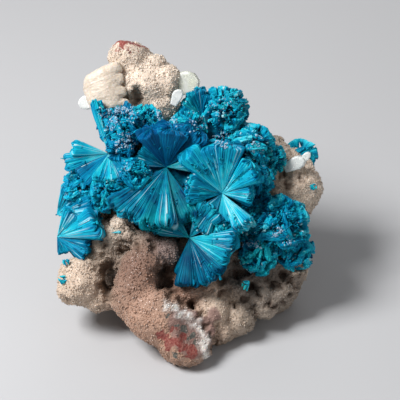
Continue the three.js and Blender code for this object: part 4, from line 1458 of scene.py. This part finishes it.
class SPECIMEN_OT_clear_blades(Operator):
    """Make the see-through pale stilbite crystals"""

    bl_idname = "specimen.clear_blades"
    bl_label = "Clear Stilbite"

    def execute(self, context):
        crystals = settings()[1]
        clear = clear_material("Clear Stilbite", crystals.clear, 0.6)
        milky = clear_material("Milky Stilbite", crystals.milky, 0.3)
        for node, blades in CLEAR_BLADES.items():
            name = node + "_crystal"
            shape = bmesh.new()
            for blade in blades:
                add_clear_blade(shape, *blade)
            material = clear if node == "stilbite_blade_top" else milky
            finish_piece(name, mesh_of(shape, name), material, [node])
        return {"FINISHED"}


class SPECIMEN_OT_sheaf(Operator):
    """Make the cream sheaf of fused stilbite lamellae"""

    bl_idname = "specimen.sheaf"
    bl_label = "Stilbite Sheaf"

    def execute(self, context):
        stone, crystals, _ = settings()
        cell = stone.voxel * 0.6
        mesh, _, points, normals = smooth_skin("stilbite_sheaf", cell, rounds=60, normal_rounds=4)
        places = to_face(points) - np.array(SHEAF["at"])
        turn = math.radians(SHEAF["turn"])
        along = places[:, 0] * math.cos(turn) + places[:, 1] * math.sin(turn)
        across = places[:, 1] * math.cos(turn) - places[:, 0] * math.sin(turn)
        fanned = across / (1 + 0.06 * along)
        relief = np.full(len(points), 0.3)
        for height, *waves in SHEAF_RELIEF:
            grid = np.stack([along, fanned, places[:, 2]], axis=1) * waves
            relief += height * np.array([noise.noise(Vector(p)) for p in grid])
        place_corners(mesh, points + normals * relief[:, None] * MM)
        mesh.shade_smooth()
        set_attribute(mesh, "shade", np.clip(0.9 - 2 * relief, 0, 1))
        name = "stilbite_sheaf_lamellae"
        finish_piece(name, mesh, sheaf_material(crystals), ["stilbite_sheaf"])
        return {"FINISHED"}


def add_floor(stage):
    """Adds the pale floor that the specimen stands on."""
    shape = bmesh.new()
    bmesh.ops.create_grid(shape, x_segments=1, y_segments=1, size=3)
    mesh = mesh_of(shape, "floor")
    material, tree, shader = new_material("Pale Floor")
    soft = ramp(tree, noise_value(tree, object_place(tree), 60.0, 6.0), 0.3, 0.7, 0.0, 0.06)
    fill_inputs(tree, shader, {"Base Color": mix(tree, soft, stage.floor, (0.5, 0.5, 0.5)), "Roughness": 0.7})
    mesh.materials.append(material)
    floor = bpy.data.objects.new("floor", mesh)
    bpy.context.scene.collection.objects.link(floor)


class SPECIMEN_OT_stage(Operator):
    """Make the floor, the lights and the camera"""

    bl_idname = "specimen.stage"
    bl_label = "Stage"

    def execute(self, context):
        stage = settings()[2]
        scene = context.scene
        if stage.show_floor:
            add_floor(stage)
        world = bpy.data.worlds.new("Studio")
        world.use_nodes = True
        background = world.node_tree.nodes["Background"]
        fill_inputs(world.node_tree, background, {"Color": (0.8, 0.82, 0.85), "Strength": stage.sky})
        scene.world = world
        middle = Vector(from_face([[0, 25, 0]])[0])
        for name, place, size, watts in (
            ("key", (-170, 190, 190), 0.12, stage.key),
            ("fill", (230, 40, 150), 0.3, stage.fill),
            ("back", (60, 260, -120), 0.2, stage.fill),
        ):
            light = bpy.data.lights.new(name, "AREA")
            light.size = size
            light.energy = watts
            lamp = bpy.data.objects.new(name, light)
            lamp.location = from_face([place])[0]
            lamp.rotation_euler = (middle - lamp.location).to_track_quat("-Z", "Y").to_euler()
            scene.collection.objects.link(lamp)
        camera_data = bpy.data.cameras.new("camera")
        camera_data.sensor_width = SENSOR_WIDTH
        camera_data.lens = SENSOR_WIDTH * CAMERA_AT[2] / VIEW_WIDTH
        camera_data.clip_start = 0.01
        camera = bpy.data.objects.new("camera", camera_data)
        camera.location = from_face([CAMERA_AT])[0]
        camera.rotation_euler = (math.radians(90 - FACE_LEAN), 0, 0)
        scene.collection.objects.link(camera)
        scene.camera = camera
        scene.view_settings.view_transform = "Standard"
        return {"FINISHED"}


class SPECIMEN_PT_panel(Panel):
    """Sizes, colours and build steps of the specimen"""

    bl_idname = "SPECIMEN_PT_panel"
    bl_label = "Cavansite on Matrix"
    bl_space_type = "VIEW_3D"
    bl_region_type = "UI"
    bl_category = "Specimen"

    def draw(self, context):
        layout = self.layout
        for group in settings():
            box = layout.box()
            for name in group.bl_rna.properties.keys():
                if name not in ("rna_type", "name"):
                    box.prop(group, name)
        for step in STEPS:
            layout.operator(step.bl_idname)


STEPS = (
    SPECIMEN_OT_stage,
    SPECIMEN_OT_stone,
    SPECIMEN_OT_druse,
    SPECIMEN_OT_bed,
    SPECIMEN_OT_sprays,
    SPECIMEN_OT_rosettes,
    SPECIMEN_OT_sprinkles,
    SPECIMEN_OT_clear_blades,
    SPECIMEN_OT_sheaf,
)
CLASSES = (StoneSettings, CrystalSettings, StageSettings, *STEPS, SPECIMEN_PT_panel)


def register():
    for each in CLASSES:
        bpy.utils.register_class(each)
    bpy.types.Scene.specimen_stone = PointerProperty(type=StoneSettings)
    bpy.types.Scene.specimen_crystals = PointerProperty(type=CrystalSettings)
    bpy.types.Scene.specimen_stage = PointerProperty(type=StageSettings)


def unregister():
    del bpy.types.Scene.specimen_stage
    del bpy.types.Scene.specimen_crystals
    del bpy.types.Scene.specimen_stone
    for each in reversed(CLASSES):
        bpy.utils.unregister_class(each)


def main():
    register()
    for step in STEPS:
        group, name = step.bl_idname.split(".")
        getattr(getattr(bpy.ops, group), name)()


if __name__ == "__main__":
    main()
